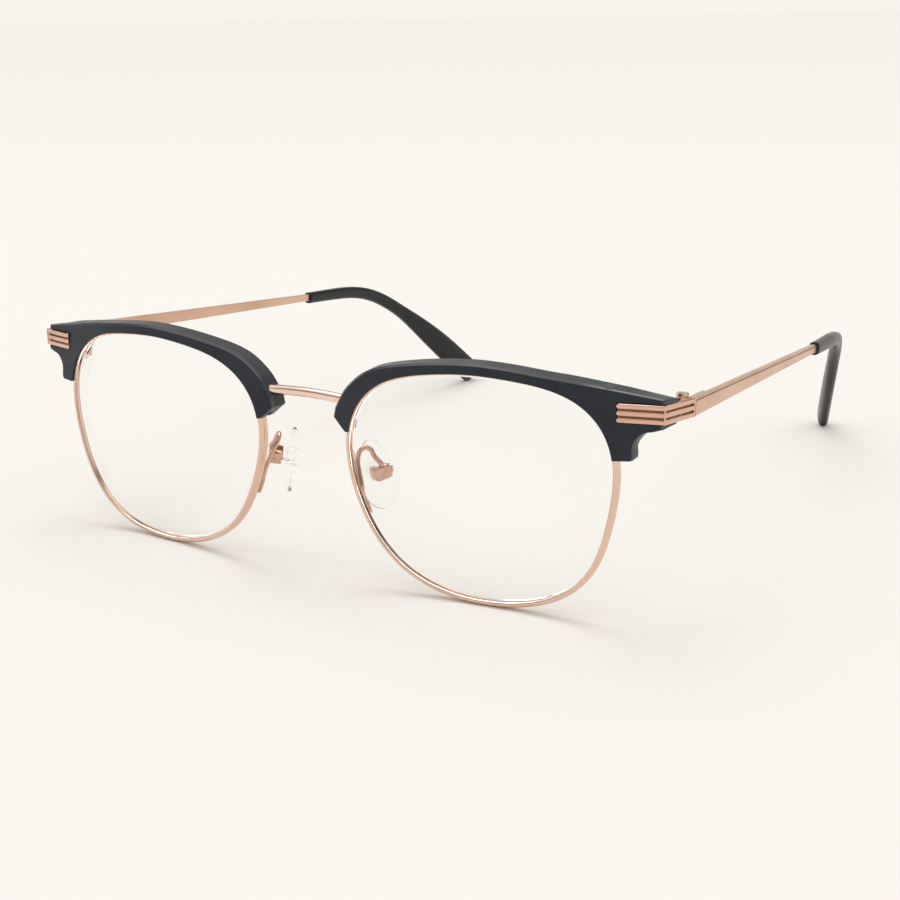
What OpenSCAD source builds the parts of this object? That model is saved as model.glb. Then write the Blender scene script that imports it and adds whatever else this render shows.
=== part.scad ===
// Browline glasses: metal eyewires and bridge under dark acetate brows, ribbed
// end pieces, flat metal temples with slim tips, and screw-on nose pads.
// They stand on the two eyewires and the two temple tips. +Z is up, the lenses
// face -Y and the temples run back along +Y. The origin is the middle of the
// footprint. Each left-hand piece (+X, the wearer's left) is mirrored for the right.
// All sizes are in mm and all angles in degrees.

/* [Lenses] */
// Width of a lens, boxed
lens_w = 50; // [44:0.5:56]
// Height of a lens, boxed
lens_h = 40.9; // [36:0.1:46]
// Distance between the two lenses
dbl = 19.6; // [16:0.1:23]
// Radius of the base curve that the lenses and eyewires follow
base_r = 105; // [85:1:150]
// Thickness of a lens
lens_t = 1.9; // [1.2:0.1:3]
// Height of the bevel round the edge of a lens
bevel_h = 0.45; // [0.4:0.01:0.6]

/* [Front] */
// Angle by which each eyewire turns back from the front plane
face_form = 4.4; // [2:0.1:7]
// Angle by which the top of the front leans forward as it stands
lean = 2; // [0.5:0.5:6]
// Thickness of the eyewire, seen from the front
wire_t = 1; // [0.9:0.05:1.4]
// Depth of the eyewire from front to back
wire_d = 1.8; // [1.5:0.1:2.4]
// Depth of the lens groove in the eyewire
groove_h = 0.4; // [0.35:0.01:0.45]
// Gap between the lens bevel and the floor of its groove
lens_gap = 0.06; // [0.03:0.01:0.1]
// Diameter of the bridge bar
bridge_d = 1.8; // [1.4:0.1:2.2]
// Height of the bridge bar above the middle of the lenses
bridge_rise = 12.5; // [10:0.1:14]
// Rise of the bridge's arch
bridge_arch = 0.6; // [0.3:0.1:1.2]
// Distance of the bridge bar behind the front plane
bridge_back = 1.75; // [1.4:0.05:2]

/* [Brows] */
// Depth of a brow from front to back
brow_d = 3.3; // [3:0.1:4]
// Depth of a brow at its outer corner
wing_d = 5.1; // [4.2:0.1:5.4]
// Thickness of the brow in front of the eyewire
brow_lip = 0.42; // [0.3:0.02:0.8]
// Reach of the brow beyond the lens at its outer corner
wing_reach = 7.7; // [7:0.1:9]
// Height of the brow's outer corner
wing_h = 5.2; // [4.8:0.1:6]
// Drop from the top of the lens to the top of the brow's outer corner
wing_drop = 2.1; // [1:0.1:3]
// Width of the leg that comes down beside the lens
leg_w = 3.2; // [2.9:0.1:3.5]
// Length of that leg below the outer corner
leg_h = 4.9; // [4.4:0.1:5.6]
// Radius of the hollow between the leg and the outer corner
leg_hollow = 2.9; // [2.4:0.1:3.2]
// Height of the brow above the eyewire over the middle of the lens
brow_rise = 1.6; // [1.4:0.1:2.4]
// Height of the brow above the eyewire at its nasal end
nasal_rise = 3.8; // [3.2:0.1:4.4]
// Width of the bevel along the front edge of a brow
brow_bevel = 0.35; // [0.2:0.05:0.45]
// Play between a brow and the metal in it
brow_play = 0.06; // [0.04:0.01:0.12]

/* [End pieces] */
// Length of the ribbed plate across the front of the brow
plate_l = 7.9; // [7:0.1:8.2]
// Length of the ribbed plate along the side, to the hinge seam
side_l = 9.9; // [9.7:0.1:11]
// Height of the ribbed plate
plate_h = 3.2; // [2.8:0.1:3.6]
// Thickness of the ribbed plate over its ribs
plate_t = 1.2; // [1.1:0.05:1.3]
// Depth of the grooves between the ribs
rib_h = 0.35; // [0.2:0.05:0.4]
// Width of the grooves between the ribs
rib_gap = 0.3; // [0.2:0.02:0.4]
// Angle of the front part of the plate to the front plane
plate_wrap = 14.4; // [10:0.2:18]
// How far the plate stands out from the brow
plate_proud = 0.3; // [0.1:0.05:0.4]
// Drop from the top of the brow's outer corner to the middle of the plate
plate_drop = 2.35; // [2:0.05:3]
// Angle by which the side part of the plate splays outward
splay = 7; // [4:0.5:9]
// Thickness of the shank that joins the plate to the rim lock
shank_t = 1.2; // [1:0.1:1.3]
// Height of that shank
shank_h = 2.2; // [2:0.1:2.6]

/* [Hinges] */
// Radius of the hinge barrels
barrel_r = 1.1; // [1:0.05:1.15]
// Height of each of the two outer barrels
barrel_h = 1.05; // [0.9:0.05:1.2]
// Height of the middle barrel on the temple
mid_barrel_h = 1.3; // [1.1:0.05:1.5]
// Play between the barrels
barrel_play = 0.05; // [0.03:0.01:0.1]
// Radius of the hinge screw
hinge_screw_r = 0.6; // [0.5:0.05:0.7]
// Running clearance round a screw
screw_play = 0.04; // [0.02:0.01:0.08]
// Length of the hinge leaf on the inside of the temple
hinge_leaf_l = 9; // [7:0.5:14]

/* [Temples] */
// Length of the metal temple from the hinge to the tip
temple_l = 75; // [65:1:85]
// Height of the temple at the hinge
temple_h = 3.3; // [2.8:0.1:3.8]
// Height of the temple where it enters the tip
temple_end_h = 2.1; // [1.9:0.1:2.3]
// Thickness of the temple
temple_t = 1.2; // [1.1:0.05:1.3]
// Angle by which the temples run inward
toe_in = 2.8; // [0:0.1:4]
// Angle by which the temples run down to the back as the glasses stand
droop = 4; // [3:0.1:5]
// Gap at the seam between the end piece and the temple
seam_gap = 0.1; // [0.08:0.01:0.15]

/* [Temple tips] */
// Distance along Y from the start of the tip to its end
tip_reach = 55.6; // [50:0.5:60]
// How far the end of the tip lies inside its start
tip_inset = 14; // [8:0.1:16]
// Length of the tip's lead-in handle, which sets where it bends
tip_lead = 26; // [22:1:30]
// Length of the tip's end handle, which sets how straight it ends
tip_tail = 44; // [38:1:46]
// Width of the tip at its start
tip_start_w = 2.7; // [2.6:0.1:3]
// Width of the tip near its end
tip_end_w = 5.2; // [4:0.1:6]
// Thickness of the tip
tip_t = 2.7; // [2.4:0.1:3.2]
// Thickness of the core wire inside the tip
core_t = 0.9; // [0.7:0.05:1]
// Play between the core wire and the tip
core_play = 0.05; // [0.03:0.01:0.1]

/* [Nose pads] */
// Height of a nose pad
pad_h = 13.4; // [12:0.1:15]
// Width of a nose pad
pad_w = 7.6; // [6.5:0.1:8.5]
// Thickness of a nose pad
pad_t = 2.3; // [2:0.1:2.6]
// Distance between the middles of the two pads
pad_span = 19.6; // [18.6:0.1:21]
// Distance of the middle of a pad behind the front plane
pad_back = 9.5; // [9:0.1:10.5]
// Height of the middle of a pad below the middle of the lenses
pad_below = 2.8; // [2:0.1:3.6]
// Angle by which the pads open towards the back
pad_splay = 30; // [26:1:34]
// Angle by which the pads open towards the bottom
pad_lean = 13; // [10:1:16]
// Diameter of the pad arm wire
arm_d = 0.9; // [0.7:0.05:1]
// Angle on the eyewire, from the temple side, where a pad arm is brazed
arm_angle = 193; // [190:1:197]
// Width of the box that holds a pad, along its screw
box_w = 3.4; // [3.2:0.1:3.8]
// Radius of the pad screw
pad_screw_r = 0.45; // [0.4:0.05:0.5]

/* [Rim locks and brow screws] */
// Angle on the eyewire, from the temple side, of the lock that closes it
lock_angle = 26; // [25.5:0.5:27]
// Height of each half of a rim lock
lock_h = 1.8; // [1.6:0.1:1.9]
// Gap between the halves of a rim lock
lock_gap = 0.2; // [0.1:0.05:0.3]
// Width of a rim lock outward from the eyewire
lock_w = 2.3; // [2.1:0.1:2.5]
// Radius of the rim lock screws and of the brow screws
small_screw_r = 0.5; // [0.4:0.05:0.55]
// Angle on the eyewire of the tab that holds the nasal end of a brow
tab_angle = 143; // [141:0.5:145]

/* [Hidden] */

$fn = 48;
// Seam between two pieces that are brazed or screwed flat together
braze = 0.01;

// Colours of the finishes
rose_gold = [0.88, 0.68, 0.56];
steel = [0.72, 0.66, 0.63];
acetate = [0.16, 0.17, 0.19];
tip_plastic = [0.24, 0.24, 0.24];
lens_clear = [0.86, 0.93, 0.95, 0.3];
pad_clear = [0.93, 0.94, 0.92, 0.6];

// Lens shape as a frame tracer reads it: the radius every 22.5 degrees,
// counter-clockwise from the temple side of the left lens, before it is boxed
trace = [24.7, 26.4, 25.1, 21.8, 20.6, 21.5, 24.5, 26.2, 24.6, 23.0, 22.1, 21.0, 20.6, 21.6, 23.5, 24.1];
// Stations round a lens and round an eyewire
stations = 72;

function lerp(a, b, t) = a + (b - a) * t;
function unit(v) = v / norm(v);
function smooth(t) = let (c = max(0, min(1, t))) c * c * (3 - 2 * c);
function sum(v, i = 0) = i < len(v) ? v[i] + sum(v, i + 1) : 0;

// A smooth closed curve through the traced radii
traces = len(trace);
function weight(a) = (1 + 2 * sum([for (k = [1 : traces / 2 - 1]) cos(k * a)]) + cos(traces / 2 * a)) / traces;
function traced_r(a) = sum([for (j = [0 : traces - 1]) trace[j] * weight(a - j * 360 / traces)]);
traced_x = [for (a = [0 : 2 : 358]) traced_r(a) * cos(a)];
traced_y = [for (a = [0 : 2 : 358]) traced_r(a) * sin(a)];
box_mid = [max(traced_x) + min(traced_x), max(traced_y) + min(traced_y)] / 2;
box_scale = [lens_w / (max(traced_x) - min(traced_x)), lens_h / (max(traced_y) - min(traced_y))];
function lens_edge(a) = let (r = traced_r(a))
    [(r * cos(a) - box_mid[0]) * box_scale[0], (r * sin(a) - box_mid[1]) * box_scale[1]];
function edge_normal(a) = let (d = lens_edge(a + 0.4) - lens_edge(a - 0.4)) unit([d[1], -d[0]]);
// A point of the lens plane at a distance outside the lens edge
function out_pt(a, off) = lens_edge(a) + off * edge_normal(a);

// Where the eyewire lies, measured outward from the lens edge
wire_in = lens_gap - groove_h;
wire_out = wire_in + wire_t;
wire_mid = wire_in + wire_t / 2;

// Axes of the left lens plane: u outward, v up and n backward
u_axis = [cos(face_form), sin(face_form), 0];
v_axis = [sin(lean) * sin(face_form), -sin(lean) * cos(face_form), cos(lean)];
n_axis = [-sin(face_form) * cos(lean), cos(face_form) * cos(lean), sin(lean)];
function sag(u, v) = (u * u + v * v) / (2 * base_r);
lens_x = (lens_w + dbl) / 2;
wire_front = 0.25 * wire_d;
function station(i) = lock_angle + 360 * i / stations;
wire_low = [for (i = [0 : stations]) let (p = out_pt(station(i), wire_out))
    p[1] * cos(lean) + (sag(p[0], p[1]) - wire_front) * sin(lean)];
lens_z = -min(wire_low);

// A point of the left front, with w behind the lens plane or behind the base curve
function flat(u, v, w) = [lens_x, 0, lens_z] + u * u_axis + v * v_axis + w * n_axis;
function dished(u, v, w) = flat(u, v, sag(u, v) + w);

// A frame from its origin and axes, and points taken through it
function place(o, x, y, z) = [[x[0], y[0], z[0], o[0]], [x[1], y[1], z[1], o[1]],
    [x[2], y[2], z[2], o[2]], [0, 0, 0, 1]];
function at(m, p) = let (q = m * [p[0], p[1], p[2], 1]) [q[0], q[1], q[2]];
function inverse(m) = let (x = [m[0][0], m[1][0], m[2][0]], y = [m[0][1], m[1][1], m[2][1]],
    z = [m[0][2], m[1][2], m[2][2]], o = [m[0][3], m[1][3], m[2][3]])
    [concat(x, [-x * o]), concat(y, [-y * o]), concat(z, [-z * o]), [0, 0, 0, 1]];
function turn_z(a) = [[cos(a), -sin(a), 0, 0], [sin(a), cos(a), 0, 0], [0, 0, 1, 0], [0, 0, 0, 1]];

// Frame on the eyewire at an angle: x outward, y along the wire and z to the front
function wire_frame(a) =
    let (p = out_pt(a, wire_mid), q = out_pt(a + 1, wire_mid), r = out_pt(a - 1, wire_mid),
        y = unit(dished(q[0], q[1], 0) - dished(r[0], r[1], 0)),
        x = unit(cross(n_axis, y)))
    place(dished(p[0], p[1], 0), x, y, cross(x, y));

// Front face of a brow: it follows the base curve, then runs straight to its corner
brow_turn = lens_w / 2 - 7;
function brow_front(u, v) =
    (u < brow_turn ? u * u : brow_turn * (2 * u - brow_turn)) / (2 * base_r)
    + v * v / (2 * base_r) - wire_d / 2 - brow_lip;
wing_u = lens_w / 2 + wing_reach;
wing_top = lens_h / 2 - wing_drop;
wing_low = wing_top - wing_h;

// Corner of the ribbed plate, the seam at the hinge, and frames on both
plate_v = wing_top - plate_drop;
corner = flat(wing_u, plate_v, brow_front(wing_u, plate_v)) + plate_proud * [1, -1, 0];
plate_x = [cos(plate_wrap), sin(plate_wrap), 0];
plate_frame = place(corner, plate_x, cross([0, 0, 1], plate_x), [0, 0, 1]);
seam = corner + side_l * [sin(splay) * cos(droop), cos(splay) * cos(droop), -sin(droop)];
temple_x = [cos(toe_in), sin(toe_in), 0];
temple_y = [-sin(toe_in) * cos(droop), cos(toe_in) * cos(droop), -sin(droop)];
temple_z = cross(temple_x, temple_y);
// The outer faces of plate and temple lie this far outside the hinge axis
skin_x = temple_t + barrel_r + 0.1;
temple_frame = place(seam - skin_x * temple_x, temple_x, temple_y, temple_z);
side_frame = temple_frame * turn_z(-splay - toe_in);
barrel_top = mid_barrel_h / 2 + barrel_play + barrel_h;

// A skin over a row of rings that turn counter-clockwise about the way they run
function quads(n, m) = [for (i = [0 : n - 2]) for (j = [0 : m - 1])
    let (a = i * m + j, b = i * m + (j + 1) % m, c = b + m, d = a + m) each [[a, c, b], [a, d, c]]];
function fan(m) = [for (j = [1 : m - 2]) [0, j, j + 1]];
function backward(faces) = [for (f = faces) [f[2], f[1], f[0]]];
module skin(rings, cap) {
    last = (len(rings) - 1) * len(rings[0]) * [1, 1, 1];
    faces = concat(quads(len(rings), len(rings[0])), cap, [for (f = backward(cap)) f + last]);
    polyhedron([for (r = rings) each r], faces);
}
module loft(rings) {
    skin(rings, fan(len(rings[0])));
}

// A smooth curve through a few points, k steps between each two
function spline_at(a, b, c, d, t) =
    0.5 * (2 * b + (c - a) * t + (2 * a - 5 * b + 4 * c - d) * t * t + (3 * b - a - 3 * c + d) * t * t * t);
function spline(p, k) = let (n = len(p) - 1)
    concat([for (i = [0 : n - 1]) for (j = [0 : k - 1])
        spline_at(p[max(i - 1, 0)], p[i], p[i + 1], p[min(i + 2, n)], j / k)], [p[n]]);
function bezier(p, t) = pow(1 - t, 3) * p[0] + 3 * pow(1 - t, 2) * t * p[1]
    + 3 * (1 - t) * t * t * p[2] + t * t * t * p[3];
function bezier_dir(p, t) = unit((1 - t) * (1 - t) * (p[1] - p[0])
    + 2 * (1 - t) * t * (p[2] - p[1]) + t * t * (p[3] - p[2]));

// A slotted screw along +z, with its head just under z = 0
module screw(r, reach, head_r, head_h) {
    difference() {
        union() {
            translate([0, 0, -head_h / 2])
                cylinder(r = r, h = reach + head_h / 2);
            translate([0, 0, -head_h - braze])
                cylinder(r = head_r, h = head_h);
        }
        translate([-head_r - 1, -0.13, -head_h - braze - 1])
            cube([2 * head_r + 2, 0.26, 1 + head_h * 0.45]);
    }
}

module box(low, high) {
    translate(low)
        cube(high - low);
}

// Rim: the grooved eyewire, open between the halves of its lock
wire_profile = [
    [wire_in + groove_h, 0], [wire_in, -0.28], [wire_in, -0.36],
    [wire_in + 0.22 * wire_t, -0.5], [wire_out - 0.2 * wire_t, -0.5], [wire_out, -wire_front / wire_d],
    [wire_out, wire_front / wire_d], [wire_out - 0.2 * wire_t, 0.5], [wire_in + 0.22 * wire_t, 0.5],
    [wire_in, 0.36], [wire_in, 0.28]];
lock_half_angle = atan((lock_gap / 2) / norm(out_pt(lock_angle, wire_mid)));
module rim() {
    span = 360 - 2 * lock_half_angle;
    color(rose_gold)
        loft([for (i = [0 : stations]) let (a = lock_angle + lock_half_angle + span * i / stations)
            [for (q = wire_profile) let (p = out_pt(a, q[0])) dished(p[0], p[1], q[1] * wire_d)]]);
}

// Lens: base curve in front and behind, with a bevel that sits in the groove
lens_edge_off = -bevel_h;
bevel_w = bevel_h * 0.28 * wire_d / groove_h;
function lens_ring(off, k, w) = [for (i = [0 : stations - 1])
    let (p = out_pt(station(i), off) * k) dished(p[0], p[1], w)];
lens_rings = [
    lens_ring(lens_edge_off, 0.05, lens_t / 2), lens_ring(lens_edge_off, 0.4, lens_t / 2),
    lens_ring(lens_edge_off, 0.72, lens_t / 2), lens_ring(lens_edge_off, 1, lens_t / 2),
    lens_ring(lens_edge_off, 1, bevel_w), lens_ring(0, 1, 0),
    lens_ring(lens_edge_off, 1, -bevel_w), lens_ring(lens_edge_off, 1, -lens_t / 2),
    lens_ring(lens_edge_off, 0.72, -lens_t / 2), lens_ring(lens_edge_off, 0.4, -lens_t / 2),
    lens_ring(lens_edge_off, 0.05, -lens_t / 2)];
lens_front = min([for (r = lens_rings) for (p = r) p[1]]);
module lens() {
    color(lens_clear)
        loft(lens_rings);
}

// Bridge: one round bar that arches between the two eyewires
bridge_z = lens_z + bridge_rise;
bridge_angles = [for (a = [140 : 0.5 : 165])
    let (p = out_pt(a, wire_out), q = dished(p[0], p[1], 0)) if (q[2] < bridge_z) [a, q[0]]];
bridge_half = bridge_angles[0][1];
bridge_r = (bridge_half * bridge_half + bridge_arch * bridge_arch) / (2 * bridge_arch);
module bridge_bar(bar_d) {
    sweep = 2 * asin((bridge_half + 1) / bridge_r);
    translate([0, bridge_back, bridge_z + bridge_arch - bridge_r])
        rotate([90, 0, 0])
            rotate([0, 0, 90 - sweep / 2])
                rotate_extrude(angle = sweep, $fn = 240)
                    translate([bridge_r, 0])
                        circle(d = bar_d, $fn = 24);
}
module bridge_end() {
    multmatrix(wire_frame(bridge_angles[0][0]))
        box([-2, -6, -6], [wire_t / 2 + braze, 6, 6]);
}
module bridge() {
    color(rose_gold)
        difference() {
            bridge_bar(bridge_d);
            bridge_end();
            mirror([1, 0, 0])
                bridge_end();
        }
}

// Brow outline as [eyewire angle that it faces, u, v], from the leg to the nasal end
leg_u = lens_w / 2 + leg_w - 0.4;
leg_low = wing_low - leg_h;
leg_pts = [[18.2, leg_u - 0.55, leg_low], [18.9, leg_u - 0.15, leg_low + 0.4], [20.4, leg_u + 0.2, leg_low + 1.4]];
hollow_pts = [for (i = [0 : 5]) let (a = 180 - 18 * i)
    [22.4 + 2.1 * i, leg_u + 0.35 + leg_hollow * (1 + cos(a)), wing_low + leg_hollow * (sin(a) - 1)]];
top_rises = [[46, brow_rise + 1.25], [56, brow_rise + 0.2], [75, brow_rise], [95, brow_rise],
    [120, brow_rise + 0.2], [138, nasal_rise - 1.4], [149, nasal_rise - 0.45], [157.5, nasal_rise]];
top_pts = spline(concat([[38, wing_u, wing_top]],
    [for (r = top_rises) let (p = out_pt(r[0], wire_mid + r[1])) [r[0], p[0], p[1]]]), 4);
knee = out_pt(160.4, wire_mid + nasal_rise - 0.15);
nasal_end = out_pt(163.4, wire_mid + 0.8);
nasal_pts = [for (t = [0, 0.35, 0.7, 1]) let (p = lerp(knee, nasal_end, t)) [160.4 + 3 * t, p[0], p[1]]];
brow_pts = concat(leg_pts, hollow_pts, [[35.4, wing_u, wing_low]], top_pts, nasal_pts);

// Brow: a bar over the eyewire, with a channel for it and a deep outer corner
brow_in = wire_mid - 0.2;
brow_back = brow_d - wire_d / 2 - brow_lip;
function brow_ring(s) =
    let (q = out_pt(s[0], brow_in), c = out_pt(s[0], wire_out + brow_play), o = [s[1], s[2]],
        b = o + unit(q - o) * brow_bevel, w = brow_front(o[0], o[1]),
        wing = smooth((o[0] - lens_w / 2) / wing_reach),
        deep = lerp(brow_d, wing_d, wing), slope = wing * tan(splay + face_form),
        half = wire_d / 2 + brow_play)
    [flat(q[0], q[1], brow_front(q[0], q[1])), flat(b[0], b[1], brow_front(b[0], b[1])),
        flat(o[0] + slope * brow_bevel, o[1], w + brow_bevel), flat(o[0] + slope * deep, o[1], w + deep),
        dished(q[0], q[1], brow_back), dished(q[0], q[1], half), dished(c[0], c[1], half),
        dished(c[0], c[1], -half), dished(q[0], q[1], -half)];
brow_cap = [[0, 7, 8], [0, 1, 7], [1, 2, 7], [2, 6, 7], [2, 3, 6], [3, 4, 6], [4, 5, 6]];
module brow() {
    color(acetate)
        difference() {
            skin([for (s = brow_pts) brow_ring(s)], brow_cap);
            plate_pocket();
            lock_pocket();
            tab_pocket();
            bridge_bar(bridge_d + 2 * brow_play);
            multmatrix(side_screw_frame)
                cylinder(r = small_screw_r + screw_play, h = screw_bite + 0.3);
            multmatrix(tab_screw_frame)
                cylinder(r = small_screw_r + screw_play, h = screw_bite + 0.3);
        }
}
screw_bite = 1.9;

// Ribbed plate: three raised ribs on a base, running to -x with the outer face on y = 0
rib_w = (plate_h - 2 * rib_gap) / 3;
module ribbed(l, rounded) {
    nose = rounded ? rib_w / 2 : 0;
    box([-l + nose, rib_h, -plate_h / 2 + 0.1], [0, plate_t, plate_h / 2 - 0.1]);
    for (i = [-1 : 1])
        translate([0, 0, i * (rib_w + rib_gap)]) {
            box([-l + nose, 0, -rib_w / 2], [0, plate_t, rib_w / 2]);
            if (rounded)
                translate([-l + nose, 0, 0])
                    rotate([-90, 0, 0])
                        cylinder(d = rib_w, h = plate_t, $fn = 24);
        }
}

// End piece: the ribbed plate round the corner, and a shank back to the rim lock
shank_at = 6.6;
shank_end = at(side_frame, [skin_x - plate_t / 2, shank_at - side_l, -0.1]);
shank_start = at(wire_frame(lock_angle), [wire_t / 2 + lock_w - 0.7, (lock_gap + lock_h) / 2, -brow_back - 2.1]);
shank_x = unit(shank_end - shank_start);
shank_y = unit(cross([0, 0, 1], shank_x));
shank_frame = place(shank_start, shank_x, shank_y, cross(shank_x, shank_y));
shank_l = norm(shank_end - shank_start);
side_screw_frame = shank_frame * place([3.9, -shank_t / 2, 0], [1, 0, 0], [0, 0, 1], [0, -1, 0]);
module end_piece() {
    color(rose_gold)
        difference() {
            union() {
                multmatrix(plate_frame)
                    ribbed(plate_l, true);
                multmatrix(side_frame)
                    translate([skin_x, 0.4, 0])
                        rotate([0, 0, 90]) {
                            ribbed(side_l + 0.4, false);
                            box([-1.7, 0, -plate_h / 2], [0, plate_t, plate_h / 2]);
                        }
                multmatrix(shank_frame)
                    box([-0.7, -shank_t / 2, -shank_h / 2], [shank_l, shank_t / 2, shank_h / 2]);
            }
            multmatrix(temple_frame)
                box([-1, -seam_gap / 2, -6], [6, 6, 6]);
            multmatrix(side_screw_frame)
                translate([0, 0, -shank_t - 0.5])
                    cylinder(r = small_screw_r + screw_play, h = shank_t + 1);
        }
}
module plate_pocket() {
    high = plate_h / 2 + brow_play;
    multmatrix(plate_frame)
        box([-plate_l - brow_play, -3, -high], [3, plate_t + brow_play, high]);
    multmatrix(side_frame)
        box([skin_x - plate_t - brow_play, -side_l - 3, -high], [skin_x + 3, 0, high]);
}

// Rim lock: two small blocks on the ends of the eyewire, closed by a screw
lock_front = -0.3;
lock_back = 2.2;
lock_bore_z = (lock_front - lock_back) / 2;
module rim_lock() {
    low = wire_t / 2 + braze;
    back_frame = inverse(wire_frame(lock_angle)) * shank_frame;
    color(rose_gold)
        multmatrix(wire_frame(lock_angle))
            difference() {
                union() {
                    difference() {
                        box([low, lock_gap / 2, -6], [low + lock_w, lock_gap / 2 + lock_h, lock_front]);
                        multmatrix(back_frame)
                            box([-6, -shank_t / 2 - braze, -6], [6, 6, 6]);
                    }
                    box([low, -lock_gap / 2 - lock_h, -lock_back], [low + lock_w, -lock_gap / 2, lock_front]);
                }
                translate([low + lock_w / 2, 0, lock_bore_z])
                    rotate([90, 0, 0])
                        cylinder(r = small_screw_r + screw_play, h = 8, center = true);
            }
}
module lock_pocket() {
    multmatrix(wire_frame(lock_angle))
        box([-2, -lock_h - lock_gap / 2 - 0.75, -9],
            [wire_t / 2 + lock_w + 0.15, lock_h + lock_gap / 2 + 0.15, lock_front + 0.1]);
}
module rim_screw() {
    color(steel)
        multmatrix(wire_frame(lock_angle))
            translate([wire_t / 2 + braze + lock_w / 2, -lock_h - lock_gap / 2, lock_bore_z])
                rotate([-90, 0, 0])
                    screw(small_screw_r, 2 * lock_h + lock_gap, small_screw_r * 1.8, 0.45);
}

// Brow tab: a lug brazed to the back of the eyewire, let into the back of the brow
tab_t = 0.6;
tab_w = 2.3;
tab_x = 1.8;
tab_seat = brow_back + 0.2;
tab_frame = wire_frame(tab_angle);
tab_screw_frame = tab_frame * place([tab_x, 0, -tab_seat], [1, 0, 0], [0, 1, 0], [0, 0, 1]);
module brow_tab() {
    color(rose_gold)
        multmatrix(tab_frame)
            difference() {
                union() {
                    box([-wire_t * 0.3, -tab_w / 2, -tab_seat - tab_t], [0.35, tab_w / 2, -wire_d / 2 - 0.1]);
                    box([-wire_t * 0.3, -tab_w / 2, -tab_seat - tab_t], [tab_x, tab_w / 2, -tab_seat]);
                    translate([tab_x, 0, -tab_seat - tab_t])
                        cylinder(d = tab_w, h = tab_t);
                }
                translate([tab_x, 0, -tab_seat - tab_t - 1])
                    cylinder(r = small_screw_r + screw_play, h = tab_t + 2);
            }
}
module tab_pocket() {
    side = tab_w / 2 + brow_play;
    multmatrix(tab_frame) {
        box([-3, -side, -9], [0.35 + brow_play, side, -wire_d / 2]);
        box([-3, -side, -9], [tab_x, side, -tab_seat + braze]);
        translate([tab_x, 0, -9])
            cylinder(r = side, h = 9 - tab_seat + braze);
    }
}
module brow_screws() {
    color(steel)
        for (hand = [0, 1])
            mirror([hand, 0, 0]) {
                multmatrix(side_screw_frame)
                    translate([0, 0, -shank_t])
                        screw(small_screw_r, shank_t + screw_bite, small_screw_r * 1.8, 0.5);
                multmatrix(tab_screw_frame)
                    translate([0, 0, -tab_t])
                        screw(small_screw_r, tab_t + screw_bite, small_screw_r * 1.8, 0.5);
            }
}

// Hinge: two barrels on the end piece and one on the temple, with a screw through all
mid_half = mid_barrel_h / 2;
inner_x = skin_x - temple_t - braze;
module barrel(r, low, high) {
    translate([0, 0, low])
        cylinder(r = r, h = high - low);
}
module hinge_front() {
    gap = mid_half + barrel_play;
    color(rose_gold)
        multmatrix(side_frame)
            difference() {
                union() {
                    barrel(barrel_r, -barrel_top, barrel_top);
                    box([0, -2.7, -barrel_top], [inner_x, 0, barrel_top]);
                }
                barrel(barrel_r + 0.1, -gap, gap);
                box([-barrel_r, 0, -gap], [inner_x + 1, barrel_r + 1, gap]);
                rotate([0, 0, toe_in + splay])
                    box([barrel_r, -seam_gap / 2, -6], [6, 6, 6]);
                barrel(hinge_screw_r + screw_play, -barrel_top - 1, barrel_top + 1);
            }
}
module hinge_temple() {
    color(rose_gold)
        multmatrix(temple_frame)
            difference() {
                union() {
                    barrel(barrel_r, -mid_half, mid_half);
                    box([0, 0, -mid_half], [inner_x, 2.4, mid_half]);
                    box([inner_x - 0.8, 1.7, -temple_h / 2 + 0.35],
                        [inner_x, hinge_leaf_l, temple_h / 2 - 0.35]);
                }
                barrel(hinge_screw_r + screw_play, -mid_half - 1, mid_half + 1);
            }
}
module hinge_screw() {
    color(steel)
        multmatrix(side_frame)
            translate([0, 0, barrel_top])
                rotate([180, 0, 0])
                    screw(hinge_screw_r, 2 * barrel_top, barrel_r * 0.95, 0.5);
}

// Cross-section of a flat bar with eased corners, at c with half sizes hx and hz
function bar_ring(c, x, z, hx, hz, b) = [
    c + hx * x - (hz - b) * z, c + (hx - b) * x - hz * z, c - (hx - b / 2) * x - hz * z,
    c - hx * x - (hz - b / 2) * z, c - hx * x + (hz - b / 2) * z, c - (hx - b / 2) * x + hz * z,
    c + (hx - b) * x + hz * z, c + hx * x + (hz - b) * z];
function side_of(d) = unit(cross(d, [0, 0, 1]));

// Middle line of a temple tip, whose lowest point stands on the floor
tip_start = at(temple_frame, [skin_x - temple_t / 2, temple_l, 0]);
tip_end_dir = unit([-0.38, 1, -0.98]);
function tip_line(z) = let (e = [tip_start[0] - tip_inset, tip_start[1] + tip_reach, z])
    [tip_start, tip_start + tip_lead * temple_y, e - tip_tail * tip_end_dir, e];
function tip_width(t) = lerp(tip_start_w + 0.5 * t, tip_end_w, smooth((t - 0.3) / 0.6));
// One oval ring of the tip, at c across d, scaled by k
function tip_ring(c, d, w, t, k) = let (s = side_of(d), up = cross(d, s))
    [for (i = [0 : 11]) let (a = 30 * i + 15, m = pow(pow(abs(cos(a)), 2.6) + pow(abs(sin(a)), 2.6), -1 / 2.6))
        c + k * m * (t / 2 * cos(a) * s + w / 2 * sin(a) * up)];
tip_round = [[0.25, 0.97], [0.5, 0.87], [0.75, 0.66], [0.92, 0.4], [1, 0.12]];
function tip_rings(z) = let (p = tip_line(z))
    concat([tip_ring(p[0], temple_y, tip_start_w, tip_t - 0.4, 0.82)],
        [for (i = [0 : 23]) let (t = 0.006 + 0.994 * i / 23)
            tip_ring(bezier(p, t), bezier_dir(p, t), tip_width(t), lerp(tip_t - 0.4, tip_t, smooth(t * 4)), 1)],
        [for (r = tip_round)
            tip_ring(p[3] + r[0] * 0.36 * tip_end_w * tip_end_dir, tip_end_dir, tip_end_w, tip_t, r[1])]);
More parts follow.
